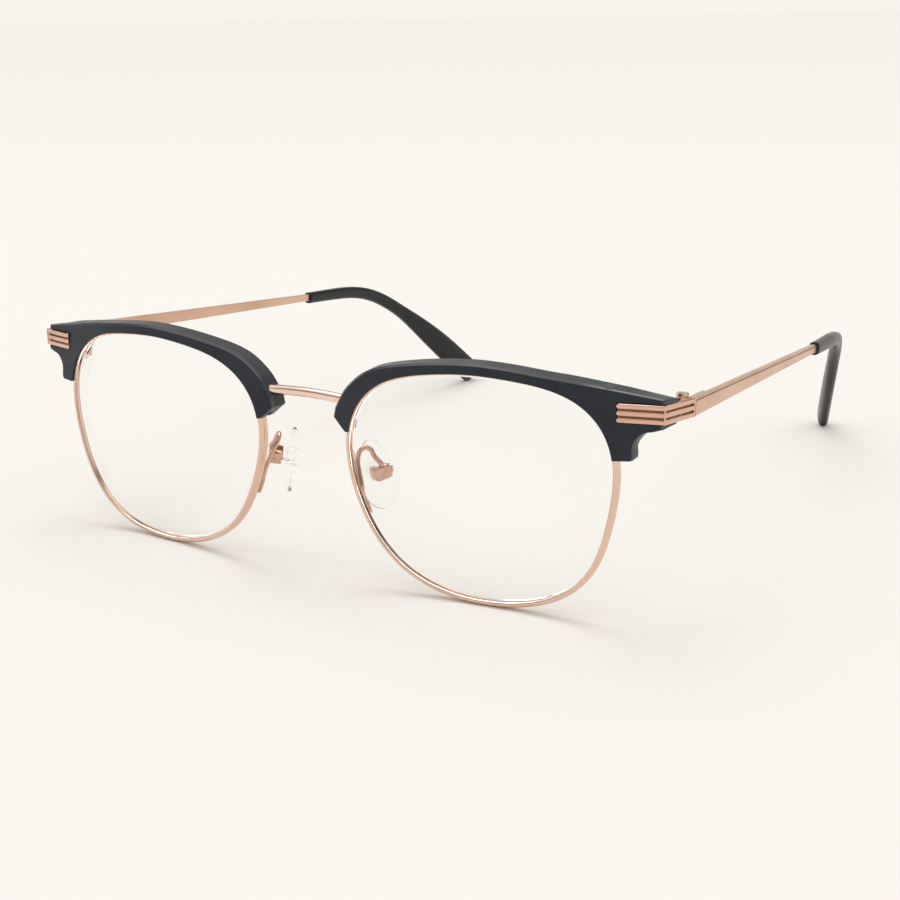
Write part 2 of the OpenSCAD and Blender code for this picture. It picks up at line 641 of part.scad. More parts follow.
tip_z = -min([for (r = tip_rings(0)) for (p = r) p[2]]);
tip_back = max([for (r = tip_rings(tip_z)) for (p = r) p[1]]);

// Core wire, the part of the temple inside the tip, over a share of the tip's line
core_share = 0.86;
function core_rings(hx, share) = let (p = tip_line(tip_z))
    [for (i = [0 : 12]) let (t = share * i / 12, d = bezier_dir(p, t), s = side_of(d))
        bar_ring(bezier(p, t), s, cross(s, d), hx, 1.3 * hx, 0.15)];

// Temple: a flat bar with bevelled outer edges, running on as the core wire
module temple() {
    bar = [for (s = [0, 0.2, 0.4, 0.6, 0.8, 1])
        bar_ring(at(temple_frame, [skin_x - temple_t / 2, lerp(seam_gap / 2, temple_l - core_play, s), 0]),
            temple_x, temple_z, temple_t / 2, lerp(temple_h, temple_end_h, s) / 2, 0.25)];
    neck = bar_ring(at(temple_frame, [skin_x - temple_t / 2, temple_l - core_play + 0.01, 0]),
        temple_x, temple_z, core_t / 2, 0.65 * core_t, 0.15);
    color(rose_gold)
        loft(concat(bar, [neck], core_rings(core_t / 2, core_share)));
}

// Temple tip: a slim sleeve over the core wire that widens to a rounded end
module temple_tip() {
    hollow = core_rings(core_t / 2 + core_play, core_share + 0.004);
    color(tip_plastic)
        difference() {
            loft(tip_rings(tip_z));
            loft(concat([[for (p = hollow[0]) p - temple_y]], hollow));
        }
}

// Nose pad frame: x towards the back, y up the pad and z away from the nose
pad_y = unit([-sin(pad_lean), -sin(pad_lean / 2), 1]);
pad_z = unit(cross([sin(pad_splay), cos(pad_splay), 0], pad_y));
pad_mid = [pad_span / 2, pad_back, lens_z - pad_below];
pad_frame = place(pad_mid, cross(pad_y, pad_z), pad_y, pad_z);
// Middle of the screw in the pad's frame
pivot = [-0.6, 1, 2.9];
stem_w = 1.2;
stem_r = 0.75;
stem_play = 0.05;

// Nose pad: a teardrop cushion, domed towards the nose, over its insert
pad_layers = [[-0.5, 0.5], [-0.44, 0.74], [-0.26, 0.93], [0, 1], [0.24, 0.93], [0.38, 0.76], [0.42, 0.5]];
module nose_pad() {
    color(pad_clear)
        multmatrix(pad_frame)
            difference() {
                loft([for (q = pad_layers) [for (i = [0 : 27]) let (a = 360 * i / 28)
                    [q[1] * pad_w / 2 * cos(a) * (1 - 0.16 * sin(a)), q[1] * pad_h / 2 * sin(a), q[0] * pad_t]]]);
                insert_body(braze);
            }
}
// Pad insert: a small plate moulded into the pad, with an eye for the screw
module insert_body(extra) {
    translate([pivot[0], pivot[1], -0.25 - extra])
        cylinder(r = 1.7 + extra, h = 0.5 + 2 * extra, $fn = 32);
    box([pivot[0] - stem_w / 2 - extra, pivot[1] - stem_r - extra, 0],
        [pivot[0] + stem_w / 2 + extra, pivot[1] + stem_r + extra, pivot[2]]);
    translate([pivot[0] - stem_w / 2 - extra, pivot[1], pivot[2]])
        rotate([0, 90, 0])
            cylinder(r = stem_r + extra, h = stem_w + 2 * extra);
}
module pad_insert() {
    color(pad_clear)
        multmatrix(pad_frame)
            difference() {
                insert_body(0);
                translate(pivot)
                    rotate([0, 90, 0])
                        cylinder(r = pad_screw_r + screw_play, h = 4, center = true);
            }
}

// Pad box: two cheeks and a back that hold the eye of the insert
box_h = 2.7;
box_floor = stem_r + 0.1;
module pad_box() {
    color(rose_gold)
        multmatrix(pad_frame)
            translate(pivot)
                difference() {
                    box([-box_w / 2, -box_h / 2, -1.05], [box_w / 2, box_h / 2, box_floor + 0.6]);
                    box([-stem_w / 2 - stem_play, -box_h, -2], [stem_w / 2 + stem_play, box_h, box_floor]);
                    rotate([0, 90, 0])
                        cylinder(r = pad_screw_r + screw_play, h = 6, center = true);
                }
}
module pad_screw() {
    color(steel)
        multmatrix(pad_frame)
            translate(pivot + [box_w / 2, 0, 0])
                rotate([0, -90, 0])
                    screw(pad_screw_r, box_w, pad_screw_r * 2, 0.5);
}

// Pad arm: a wire brazed up the back of the eyewire and looped over to the pad box
arm_seat = -(wire_d + arm_d) / 2 - 0.11;
arm_end = at(pad_frame, pivot + [0, box_h / 2 + braze, box_floor + 0.25]);
arm_top = at(pad_frame, pivot + [0, box_h / 2, 0.2]);
arm_line = [at(wire_frame(arm_angle + 7), [0.1, 0, arm_seat]), at(wire_frame(arm_angle), [0.1, 0, arm_seat]),
    arm_top + [-0.35, -4.85, -4.4], arm_top + [-0.6, -4.6, -2.4], arm_top + [-1.2, -3.8, 0.6],
    arm_top + [-2.05, -3.3, 2.9], arm_top + [-1.9, -2.3, 3.5], arm_top + [-1.5, -1.2, 3.5],
    arm_end + 1.6 * pad_y + [-0.2, 0, 0], arm_end + 0.5 * pad_y, arm_end];
module pad_arm() {
    route = spline(arm_line, 3);
    last = len(route) - 1;
    color(rose_gold)
        loft([for (i = [0 : last])
            let (d = i == last ? -pad_y : unit(route[min(i + 1, last)] - route[max(i - 1, 0)]),
                s = unit(cross(d, [1, 0.2, 0.1])), t = cross(d, s))
            [for (j = [0 : 7]) route[i] + arm_d / 2 * (cos(45 * j) * s + sin(45 * j) * t)]]);
}

// The depth of the whole is shared out about the origin
middle_y = -(tip_back + lens_front) / 2;
module left() {
    translate([0, middle_y, 0])
        children();
}
module right() {
    mirror([1, 0, 0])
        left()
            children();
}

left() rim();  // rim_left
right() rim();  // rim_right
left() lens();  // lens_left
right() lens();  // lens_right
left() bridge();
left() brow();  // brow_left
right() brow();  // brow_right
left() rim_lock();  // rim_lock_left
right() rim_lock();  // rim_lock_right
left() rim_screw();  // rim_screw_left
right() rim_screw();  // rim_screw_right
left() brow_tab();  // brow_tab_left
right() brow_tab();  // brow_tab_right
left() brow_screws();
left() end_piece();  // end_piece_left
right() end_piece();  // end_piece_right
left() hinge_front();  // hinge_front_left
right() hinge_front();  // hinge_front_right
left() hinge_screw();  // hinge_screw_left
right() hinge_screw();  // hinge_screw_right
left() hinge_temple();  // hinge_temple_left
right() hinge_temple();  // hinge_temple_right
left() temple();  // temple_left
right() temple();  // temple_right
left() temple_tip();  // temple_tip_left
right() temple_tip();  // temple_tip_right
left() pad_arm();  // pad_arm_left
right() pad_arm();  // pad_arm_right
left() pad_box();  // pad_box_left
right() pad_box();  // pad_box_right
left() pad_screw();  // pad_screw_left
right() pad_screw();  // pad_screw_right
left() pad_insert();  // pad_insert_left
right() pad_insert();  // pad_insert_right
left() nose_pad();  // nose_pad_left
right() nose_pad();  // nose_pad_right
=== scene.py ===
"""Browline glasses: the pieces that need smooth surfaces, the finishes, the studio and the camera."""

import math

import bpy
import numpy as np
from mathutils import Matrix, Vector


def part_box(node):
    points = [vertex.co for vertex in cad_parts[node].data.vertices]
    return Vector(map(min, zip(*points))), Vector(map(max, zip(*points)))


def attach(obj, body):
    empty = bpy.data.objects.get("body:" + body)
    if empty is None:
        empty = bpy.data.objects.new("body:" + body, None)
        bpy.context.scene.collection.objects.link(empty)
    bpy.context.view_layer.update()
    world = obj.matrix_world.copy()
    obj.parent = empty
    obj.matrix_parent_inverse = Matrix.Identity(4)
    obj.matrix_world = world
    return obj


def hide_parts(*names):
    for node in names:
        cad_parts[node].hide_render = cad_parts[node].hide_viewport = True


MM = 0.001

# Sizes of the glasses in mm, the same as the CAD model's
LENS_W, LENS_H, DBL = 50.0, 40.9, 19.6
BASE_R = 105.0
LENS_T = 1.9
FACE_FORM, LEAN = math.radians(4.4), math.radians(2.0)
WIRE_T, WIRE_D, GROOVE_H, LENS_GAP, BEVEL_H = 1.0, 1.8, 0.4, 0.06, 0.45
WIRE_IN = LENS_GAP - GROOVE_H
WIRE_OUT = WIRE_IN + WIRE_T
WIRE_MID = WIRE_IN + WIRE_T / 2
BROW_D, WING_D, BROW_LIP = 3.3, 5.1, 0.42
WING_REACH, WING_H, WING_DROP = 7.7, 5.2, 2.1
LEG_W, LEG_H, LEG_HOLLOW = 3.2, 4.9, 2.9
BROW_RISE, NASAL_RISE, BROW_BEVEL, BROW_PLAY = 1.6, 3.8, 0.35, 0.06
PLATE_L, SIDE_L, PLATE_H, PLATE_T = 7.9, 9.9, 3.2, 1.2
PLATE_PROUD, PLATE_DROP = 0.3, 2.35
RIB_H, RIB_GAP = 0.35, 0.3
PLATE_WRAP, SPLAY = math.radians(14.4), math.radians(7)
TOE_IN, DROOP = math.radians(2.8), math.radians(4)
BARREL_R, SEAM_GAP = 1.1, 0.1
TEMPLE_L, TEMPLE_H, TEMPLE_END_H, TEMPLE_T = 75.0, 3.3, 2.1, 1.2
TIP_REACH, TIP_INSET, TIP_LEAD, TIP_TAIL = 55.6, 14.0, 26.0, 44.0
TIP_START_W, TIP_END_W, TIP_T = 2.7, 5.2, 2.7
PAD_H, PAD_W, PAD_T, PAD_SPAN, PAD_BACK, PAD_BELOW = 13.4, 7.6, 2.3, 19.6, 9.5, 2.8
PAD_SPLAY, PAD_LEAN = math.radians(30), math.radians(13)
ARM_D, ARM_ANGLE, LOCK_ANGLE, LOCK_GAP, TAB_ANGLE = 0.9, 193.0, 26.0, 0.2, 143.0
BRIDGE_D, BRIDGE_RISE, BRIDGE_ARCH, BRIDGE_BACK = 1.8, 12.5, 0.6, 1.75
# The lens tracer's radius at sixteen even angles
TRACE = (24.7, 26.4, 25.1, 21.8, 20.6, 21.5, 24.5, 26.2, 24.6, 23.0, 22.1, 21.0, 20.6, 21.6, 23.5, 24.1)

# Where the visible surfaces depart a little from the model, in mm
WING_LESS, WING_FALL, WING_LIFT = 1.0, 0.6, 0.5
LEG_DEPTH_SHARE = 0.48
TEMPLE_TOP_LESS, TEMPLE_FOOT_LESS, TEMPLE_END_FOOT_LESS = 0.1, 0.2, 0.4
FLARE_W, FLARE_BACK = 6.2, 0.36


# Small geometry helpers, all in mm

def lerp(a, b, t):
    """The value a share t of the way from a to b."""
    return a + (b - a) * t


def unit(v):
    """Vectors scaled to a length of 1."""
    v = np.asarray(v, float)
    return v / np.linalg.norm(v, axis=-1, keepdims=True)


def smooth(t):
    """Eases a share from 0 to 1."""
    t = np.clip(t, 0, 1)
    return t * t * (3 - 2 * t)


def traced_r(a):
    """The lens tracer's radius at angles in degrees."""
    a = np.radians(np.atleast_1d(a))
    n = len(TRACE)
    total = np.zeros_like(a)
    for j, r in enumerate(TRACE):
        x = a - j * 2 * math.pi / n
        weight = (1 + 2 * sum(np.cos(k * x) for k in range(1, n // 2)) + np.cos(n // 2 * x)) / n
        total += r * weight
    return total


def raw_edge(a):
    """Points of the edge as traced, before it is fitted to the lens's box."""
    r, t = traced_r(a), np.radians(np.atleast_1d(a))
    return np.stack([r * np.cos(t), r * np.sin(t)], 1)


traced = raw_edge(np.arange(0, 360, 2))
BOX_MID = (traced.max(0) + traced.min(0)) / 2
BOX_SCALE = np.array([LENS_W, LENS_H]) / (traced.max(0) - traced.min(0))


def lens_edge(a):
    """Points of the lens edge about the middle of its box."""
    return (raw_edge(a) - BOX_MID) * BOX_SCALE


def out_pt(a, off):
    """Points of the lens plane at a distance outside the lens edge."""
    a = np.atleast_1d(np.asarray(a, float))
    d = lens_edge(a + 0.4) - lens_edge(a - 0.4)
    return lens_edge(a) + np.atleast_1d(off)[:, None] * unit(np.stack([d[:, 1], -d[:, 0]], 1))


# The left lens plane's axes: outward, up and back
U_AXIS = np.array([math.cos(FACE_FORM), math.sin(FACE_FORM), 0])
V_AXIS = np.array([math.sin(LEAN) * math.sin(FACE_FORM), -math.sin(LEAN) * math.cos(FACE_FORM),
                   math.cos(LEAN)])
N_AXIS = np.array([-math.sin(FACE_FORM) * math.cos(LEAN), math.cos(FACE_FORM) * math.cos(LEAN),
                   math.sin(LEAN)])


def sag(u, v):
    """How far the dished lens lies behind its plane."""
    return (u * u + v * v) / (2 * BASE_R)


# The eyewires stand on the floor, which sets the height of the lens middles
around = out_pt(LOCK_ANGLE + 5 * np.arange(73), WIRE_OUT)
behind = sag(around[:, 0], around[:, 1]) - WIRE_D / 4
LENS_Z = -np.min(around[:, 1] * math.cos(LEAN) + behind * math.sin(LEAN))
LENS_X = (LENS_W + DBL) / 2


def flat(u, v, w):
    """Left-hand points at u, v in the lens plane and w behind it."""
    u, v, w = np.broadcast_arrays(np.asarray(u, float), v, w)
    return (np.array([LENS_X, FRONT_Y, LENS_Z]) + u[..., None] * U_AXIS + v[..., None] * V_AXIS
            + w[..., None] * N_AXIS)


def dished(u, v, w):
    """Left-hand points at u, v and w behind the dished middle surface of the lens."""
    return flat(u, v, sag(np.asarray(u, float), v) + w)


class Frame:
    """An origin and three axes."""

    def __init__(self, origin, x, y, z):
        self.o, self.x, self.y, self.z = (np.asarray(k, float) for k in (origin, x, y, z))

    def at(self, x, y, z):
        """Points given in the frame's own axes."""
        x, y, z = np.broadcast_arrays(np.asarray(x, float), y, z)
        return self.o + x[..., None] * self.x + y[..., None] * self.y + z[..., None] * self.z

    def turned(self, angle):
        """The same frame turned about its z axis."""
        c, s = math.cos(angle), math.sin(angle)
        return Frame(self.o, c * self.x + s * self.y, -s * self.x + c * self.y, self.z)


def wire_frame(a):
    """Frame on the eyewire: x outward, y along the wire and z to the front."""
    p = out_pt([a - 1, a, a + 1], WIRE_MID)
    q = dished(p[:, 0], p[:, 1], 0)
    y = unit(q[2] - q[0])
    x = unit(np.cross(N_AXIS, y))
    return Frame(q[1], x, y, np.cross(x, y))


def spline(points, steps):
    """A smooth curve through points."""
    p = np.asarray(points, float)
    n = len(p) - 1
    out = []
    for i in range(n):
        a, b, c, d = p[max(i - 1, 0)], p[i], p[i + 1], p[min(i + 2, n)]
        for j in range(steps):
            t = j / steps
            out.append(0.5 * (2 * b + (c - a) * t + (2 * a - 5 * b + 4 * c - d) * t * t
                              + (3 * b - a - 3 * c + d) * t ** 3))
    out.append(p[n])
    return np.array(out)


def bezier(p, t):
    """Points at shares t of the curve with four control points."""
    t = np.atleast_1d(t)[:, None]
    return (1 - t) ** 3 * p[0] + 3 * (1 - t) ** 2 * t * p[1] + 3 * (1 - t) * t * t * p[2] + t ** 3 * p[3]


def bezier_dir(p, t):
    """The directions of the same curve."""
    t = np.atleast_1d(t)[:, None]
    return unit((1 - t) ** 2 * (p[1] - p[0]) + 2 * (1 - t) * t * (p[2] - p[1]) + t * t * (p[3] - p[2]))


def rounded_profile(points, radius, steps=4):
    """A closed polygon with its corners rounded."""
    p = np.asarray(points, float)
    n = len(p)
    out = []
    for i in range(n):
        a, b, c = p[i - 1], p[i], p[(i + 1) % n]
        r = radius[i] if hasattr(radius, "__len__") else radius
        if r <= 0:
            out.append(b)
            continue
        la, lc = np.linalg.norm(a - b), np.linalg.norm(c - b)
        k = min(r, 0.45 * la, 0.45 * lc)
        s, e = b + (a - b) * k / la, b + (c - b) * k / lc
        for j in range(steps + 1):
            t = j / steps
            out.append((1 - t) ** 2 * s + 2 * (1 - t) * t * b + t * t * e)
    return np.array(out)


# Making pieces

def mesh_piece(name, verts, faces, sharp=32):
    """One piece from points in mm, shaded smooth except over sharp angles."""
    mesh = bpy.data.meshes.new(name)
    mesh.from_pydata([tuple(v) for v in np.asarray(verts) * MM], [], faces)
    mesh.validate()
    mesh.shade_smooth()
    mesh.set_sharp_from_angle(angle=math.radians(sharp))
    piece = bpy.data.objects.new(name, mesh)
    bpy.context.scene.collection.objects.link(piece)
    return piece


def skin(rings, closed=False, caps=True):
    """Points and faces over a row of rings that turn counter-clockwise about the way they run."""
    rings = np.asarray(rings)
    n, m = rings.shape[:2]
    faces = []
    for i in range(n if closed else n - 1):
        for j in range(m):
            a, b = i * m + j, i * m + (j + 1) % m
            c, d = (b + m) % (n * m), (a + m) % (n * m)
            faces.append((a, b, c, d))
    if caps and not closed:
        faces.append(tuple(range(m - 1, -1, -1)))
        faces.append(tuple((n - 1) * m + j for j in range(m)))
    return rings.reshape(-1, 3), faces


def pair(name, verts, faces, body, material, node=None, sharp=32):
    """The left-hand piece and its mirror image, each standing for its own CAD node."""
    made = []
    for hand, side in (("left", 1), ("right", -1)):
        points = np.asarray(verts) * [side, 1, 1]
        turned = faces if side == 1 else [f[::-1] for f in faces]
        piece = mesh_piece(f"{name}_{hand}_skin", points, turned, sharp)
        piece.data.materials.append(material)
        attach(piece, body.format(hand=hand))
        if node:
            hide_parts(f"{node}_{hand}")
        made.append(piece)
    return made


def bevel(piece, width, segments=2, angle=30):
    """Eases the hard edges of a piece, width in mm."""
    ease = piece.modifiers.new("eased edges", "BEVEL")
    ease.width = width * MM
    ease.segments = segments
    ease.limit_method = "ANGLE"
    ease.angle_limit = math.radians(angle)
    ease.harden_normals = False
    ease.use_clamp_overlap = True
    return ease


# Finishes

def group(name, inputs, outputs):
    """A new shader node group with named value or colour sockets."""
    tree = bpy.data.node_groups.new(name, "ShaderNodeTree")
    for label, kind, value in inputs:
        s = tree.interface.new_socket(name=label, in_out="INPUT", socket_type=kind)
        if value is not None:
            s.default_value = value
    for label, kind in outputs:
        tree.interface.new_socket(name=label, in_out="OUTPUT", socket_type=kind)
    a = tree.nodes.new("NodeGroupInput")
    b = tree.nodes.new("NodeGroupOutput")
    return tree, a, b


def brushed_lines():
    """Fine lines along one axis: a value to vary gloss and a height for a bump."""
    sockets = [("Stretch", "NodeSocketVector", (1, 1, 1)), ("Scale", "NodeSocketFloat", 900.0),
               ("Low", "NodeSocketFloat", 0.2), ("High", "NodeSocketFloat", 0.4)]
    values = [("Gloss", "NodeSocketFloat"), ("Height", "NodeSocketFloat")]
    tree, a, b = group("brushed lines", sockets, values)
    new, link = tree.nodes.new, tree.links.new
    where = new("ShaderNodeTexCoord")
    stretch = new("ShaderNodeVectorMath")
    stretch.operation = "MULTIPLY"
    noise = new("ShaderNodeTexNoise")
    noise.inputs["Detail"].default_value = 4
    noise.inputs["Roughness"].default_value = 0.65
    soft = new("ShaderNodeTexNoise")
    soft.inputs["Scale"].default_value = 160
    soft.inputs["Detail"].default_value = 2
    blend = new("ShaderNodeMath")
    blend.operation = "MULTIPLY_ADD"
    blend.inputs[1].default_value = 0.7
    share = new("ShaderNodeMath")
    share.operation = "MULTIPLY"
    share.inputs[1].default_value = 0.3
    spread = new("ShaderNodeMapRange")
    spread.inputs["From Min"].default_value = 0.3
    spread.inputs["From Max"].default_value = 0.7
    link(where.outputs["Object"], stretch.inputs[0])
    link(a.outputs["Stretch"], stretch.inputs[1])
    link(stretch.outputs[0], noise.inputs["Vector"])
    link(a.outputs["Scale"], noise.inputs["Scale"])
    link(where.outputs["Object"], soft.inputs["Vector"])
    link(soft.outputs["Fac"], share.inputs[0])
    link(noise.outputs["Fac"], blend.inputs[0])
    link(share.outputs[0], blend.inputs[2])
    link(blend.outputs[0], spread.inputs["Value"])
    link(a.outputs["Low"], spread.inputs["To Min"])
    link(a.outputs["High"], spread.inputs["To Max"])
    link(spread.outputs["Result"], b.inputs["Gloss"])
    link(noise.outputs["Fac"], b.inputs["Height"])
    return tree


def mottle():
    """Slow drift between two shades, as in plated metal or cast plastic."""
    sockets = [("Scale", "NodeSocketFloat", 60.0), ("Shade A", "NodeSocketColor", (1, 1, 1, 1)),
               ("Shade B", "NodeSocketColor", (1, 1, 1, 1))]
    tree, a, b = group("mottle", sockets, [("Color", "NodeSocketColor")])
    new, link = tree.nodes.new, tree.links.new
    where = new("ShaderNodeTexCoord")
    noise = new("ShaderNodeTexNoise")
    noise.inputs["Detail"].default_value = 3
    ramp = new("ShaderNodeMapRange")
    ramp.inputs["From Min"].default_value = 0.35
    ramp.inputs["From Max"].default_value = 0.65
    mix = new("ShaderNodeMix")
    mix.data_type = "RGBA"
    link(where.outputs["Object"], noise.inputs["Vector"])
    link(a.outputs["Scale"], noise.inputs["Scale"])
    link(noise.outputs["Fac"], ramp.inputs["Value"])
    link(ramp.outputs["Result"], mix.inputs["Factor"])
    link(a.outputs["Shade A"], mix.inputs[6])
    link(a.outputs["Shade B"], mix.inputs[7])
    link(mix.outputs[2], b.inputs["Color"])
    return tree


def shade(*rgb):
    """A colour read as 0 to 255 screen values."""
    def lin(c):
        c /= 255
        return c / 12.92 if c <= 0.04045 else ((c + 0.055) / 1.055) ** 2.4
    return tuple(lin(c) for c in rgb) + (1.0,)


def finish(name, shade_a, shade_b, metallic, low, high, stretch=(1, 1, 1), line_scale=900, bump=0.0,
           drift=60, **sockets):
    """One finish: drifting colour, lines in the gloss and a fine bump."""
    mat = bpy.data.materials.new(name)
    mat.use_nodes = True
    nodes, links = mat.node_tree.nodes, mat.node_tree.links
    bsdf = nodes["Principled BSDF"]
    bsdf.inputs["Metallic"].default_value = metallic
    for label, value in sockets.items():
        bsdf.inputs[label.replace("_", " ")].default_value = value
    colour = nodes.new("ShaderNodeGroup")
    colour.node_tree = GROUPS["mottle"]
    colour.inputs["Scale"].default_value = drift
    colour.inputs["Shade A"].default_value = shade_a
    colour.inputs["Shade B"].default_value = shade_b
    links.new(colour.outputs["Color"], bsdf.inputs["Base Color"])
    lines = nodes.new("ShaderNodeGroup")
    lines.node_tree = GROUPS["lines"]
    lines.inputs["Stretch"].default_value = stretch
    lines.inputs["Scale"].default_value = line_scale
    lines.inputs["Low"].default_value = low
    lines.inputs["High"].default_value = high
    links.new(lines.outputs["Gloss"], bsdf.inputs["Roughness"])
    if bump:
        rise = nodes.new("ShaderNodeBump")
        rise.inputs["Strength"].default_value = bump
        rise.inputs["Distance"].default_value = 0.00002
        links.new(lines.outputs["Height"], rise.inputs["Height"])
        links.new(rise.outputs["Normal"], bsdf.inputs["Normal"])
    return mat


def shadowless(mat):
    """Lets all light straight through where shadows are worked out, as thin clear plastic nearly does."""
    nodes, links = mat.node_tree.nodes, mat.node_tree.links
    thin = nodes.new("ShaderNodeBsdfTransparent")
    path = nodes.new("ShaderNodeLightPath")
    mix = nodes.new("ShaderNodeMixShader")
    links.new(path.outputs["Is Shadow Ray"], mix.inputs["Fac"])
    links.new(nodes["Principled BSDF"].outputs[0], mix.inputs[1])
    links.new(thin.outputs[0], mix.inputs[2])
    links.new(mix.outputs[0], nodes["Material Output"].inputs["Surface"])
    return mat


# The model, and how far back the middle of its lens planes lies
LENS_FORWARD = 1.3117
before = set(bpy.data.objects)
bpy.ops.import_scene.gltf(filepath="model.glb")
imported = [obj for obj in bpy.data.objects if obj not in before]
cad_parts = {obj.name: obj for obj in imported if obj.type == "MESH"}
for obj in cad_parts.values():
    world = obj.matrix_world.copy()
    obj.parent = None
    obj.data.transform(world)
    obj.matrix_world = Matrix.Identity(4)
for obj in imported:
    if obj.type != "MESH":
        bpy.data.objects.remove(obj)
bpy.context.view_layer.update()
FRONT_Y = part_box("lens_left")[0][1] / MM + LENS_FORWARD

GROUPS = {"lines": brushed_lines(), "mottle": mottle()}
# Polished rose metal for the bridge, tabs, locks and hinge fronts; its lighter colour on each rib's upper
# edge of the end pieces is a painted highlight
ROSE_POLISHED_AND_HIGHLIGHT = finish("polished rose metal", shade(244, 217, 203), shade(236, 207, 192), 1.0, 0.07, 0.16,
                       line_scale=500)
ROSE_SATIN = finish("satin rose metal", shade(224, 187, 165), shade(209, 171, 149), 1.0, 0.26, 0.42,
                    stretch=(1, 0.05, 1), line_scale=2600, bump=0.25)
ROSE_WIRE = finish("drawn rose wire", shade(220, 180, 162), shade(202, 160, 141), 1.0, 0.1, 0.2,
                   line_scale=700)
ROSE_PLATE = finish("satin rose plate", shade(230, 190, 170), shade(214, 172, 151), 1.0, 0.16, 0.3,
                    stretch=(0.12, 0.12, 1), line_scale=2400, bump=0.25)
# Darker rose metal: painted shade on the end pieces' groove floors and rib walls and on the temples'
# narrow facet
ROSE_PAINTED_SHADE = finish("rose metal in painted shade", shade(150, 108, 86), shade(122, 84, 66), 1.0, 0.3, 0.45,
                    line_scale=900)
ROSE_RIM = finish("rose eyewire", shade(234, 202, 184), shade(224, 190, 171), 1.0, 0.15, 0.26,
                  line_scale=500)
BROW_SHEEN = finish("blue-black acetate", shade(37, 42, 52), shade(30, 34, 43), 0.0, 0.3, 0.56,
                    stretch=(0.06, 0.6, 1), line_scale=2200, bump=0.35, drift=120,
                    Specular_IOR_Level=0.28)
# The bevel between the brow's front and top: glossier, and painted lighter as a painted highlight
BROW_ARRIS_HIGHLIGHT = finish("buffed brow edge, painted highlight", shade(64, 67, 75), shade(52, 55, 62), 0.0, 0.16, 0.26,
                    line_scale=900, Specular_IOR_Level=0.75)
# The brow's outer face, its top along the lens: milled grain, and painted lighter than the front as
# painted light falling from above
BROW_OUTER_PAINTED_LIGHT = finish("milled brow outer face, painted light", shade(50, 53, 60), shade(39, 42, 49), 0.0, 0.3, 0.5,
                   stretch=(0.1, 0.5, 1), line_scale=2600, bump=0.5, drift=200, Specular_IOR_Level=0.5)
TIP_GLOSS = finish("dark grey acetate", shade(34, 34, 36), shade(26, 26, 28), 0.0, 0.28, 0.38,
                   line_scale=300, drift=90, Specular_IOR_Level=0.3, Coat_Weight=0.1, Coat_Roughness=0.1)
SCREW = finish("screw metal", shade(222, 190, 172), shade(206, 176, 160), 1.0, 0.16, 0.28,
               line_scale=1500)
PAD_CLEAR = shadowless(finish("clear silicone", shade(255, 255, 254), shade(252, 252, 251), 0.0, 0.02,
                              0.06, line_scale=400, Transmission_Weight=1.0, IOR=1.16, Coat_Weight=0.5,
                              Coat_IOR=1.41, Coat_Roughness=0.12))
LENS_CLEAR = shadowless(finish("clear lens", shade(255, 255, 255), shade(253, 254, 254), 0.0, 0.0, 0.01,
                               line_scale=40, drift=20, Transmission_Weight=1.0, IOR=1.06,
                               Coat_Weight=0.5, Coat_IOR=1.5, Coat_Roughness=0.0))


# Rims and lenses

def make_rims():
    """The eyewires: a rounded wire with an inner groove, split at the lock."""
    w = WIRE_D / 2
    profile = rounded_profile(
        [(WIRE_IN + GROOVE_H, 0), (WIRE_IN, -0.28 * WIRE_D), (WIRE_IN, -0.36 * WIRE_D),
         (WIRE_IN + 0.16, -w), (WIRE_OUT - 0.34, -w), (WIRE_OUT, -w + 0.5), (WIRE_OUT, w - 0.5),
         (WIRE_OUT - 0.34, w), (WIRE_IN + 0.16, w), (WIRE_IN, 0.36 * WIRE_D), (WIRE_IN, 0.28 * WIRE_D)],
        [0, 0.04, 0.1, 0.14, 0.26, 0.4, 0.4, 0.26, 0.14, 0.1, 0.04], 3)
    half = math.degrees(LOCK_GAP / 2 / np.linalg.norm(out_pt(LOCK_ANGLE, WIRE_MID)))
    angles = np.linspace(LOCK_ANGLE + half, LOCK_ANGLE + 360 - half, 289)
    rings = []
    for off, depth in profile:
        p = out_pt(angles, off)
        rings.append(dished(p[:, 0], p[:, 1], depth))
    verts, faces = skin(np.stack(rings, 1))
    pair("rim", verts, faces, "front", ROSE_RIM, "rim", sharp=40)


def make_lenses():
    """The lenses: dished on both faces, with a bevelled edge that sits in the groove."""
    angles = LOCK_ANGLE + np.arange(0, 360, 1.25)
    bevel_w = BEVEL_H * 0.28 * WIRE_D / GROOVE_H
    rows = [(k, -BEVEL_H, LENS_T / 2) for k in (0.03, 0.15, 0.3, 0.45, 0.6, 0.75, 0.88, 0.97, 1)]
    rows += [(1, -BEVEL_H, bevel_w), (1, 0, 0), (1, -BEVEL_H, -bevel_w)]
    rows += [(k, -BEVEL_H, -LENS_T / 2) for k in (1, 0.97, 0.88, 0.75, 0.6, 0.45, 0.3, 0.15, 0.03)]
    rings = []
    for k, off, w in rows:
        p = out_pt(angles, off) * k
        rings.append(dished(p[:, 0], p[:, 1], w))
    verts, faces = skin(rings)
    pair("lens", verts, faces, "front", LENS_CLEAR, "lens", sharp=40)


# Brows

WING_TOP = LENS_H / 2 - WING_DROP
WING_LOW = WING_TOP - WING_H
WING_U = LENS_W / 2 + WING_REACH
BROW_TURN = LENS_W / 2 - 7
LEG_U = LENS_W / 2 + LEG_W - 0.4
LEG_LOW = WING_LOW - LEG_H
BROW_BACK = BROW_D - WIRE_D / 2 - BROW_LIP
WING_BACK = WING_D - WING_LESS


def brow_front(u, v):
    """How far the brow's front lies behind the lens plane: dished, then straight past the turn."""
    run = np.where(u < BROW_TURN, u * u, BROW_TURN * (2 * u - BROW_TURN))
    return run / (2 * BASE_R) + v * v / (2 * BASE_R) - WIRE_D / 2 - BROW_LIP


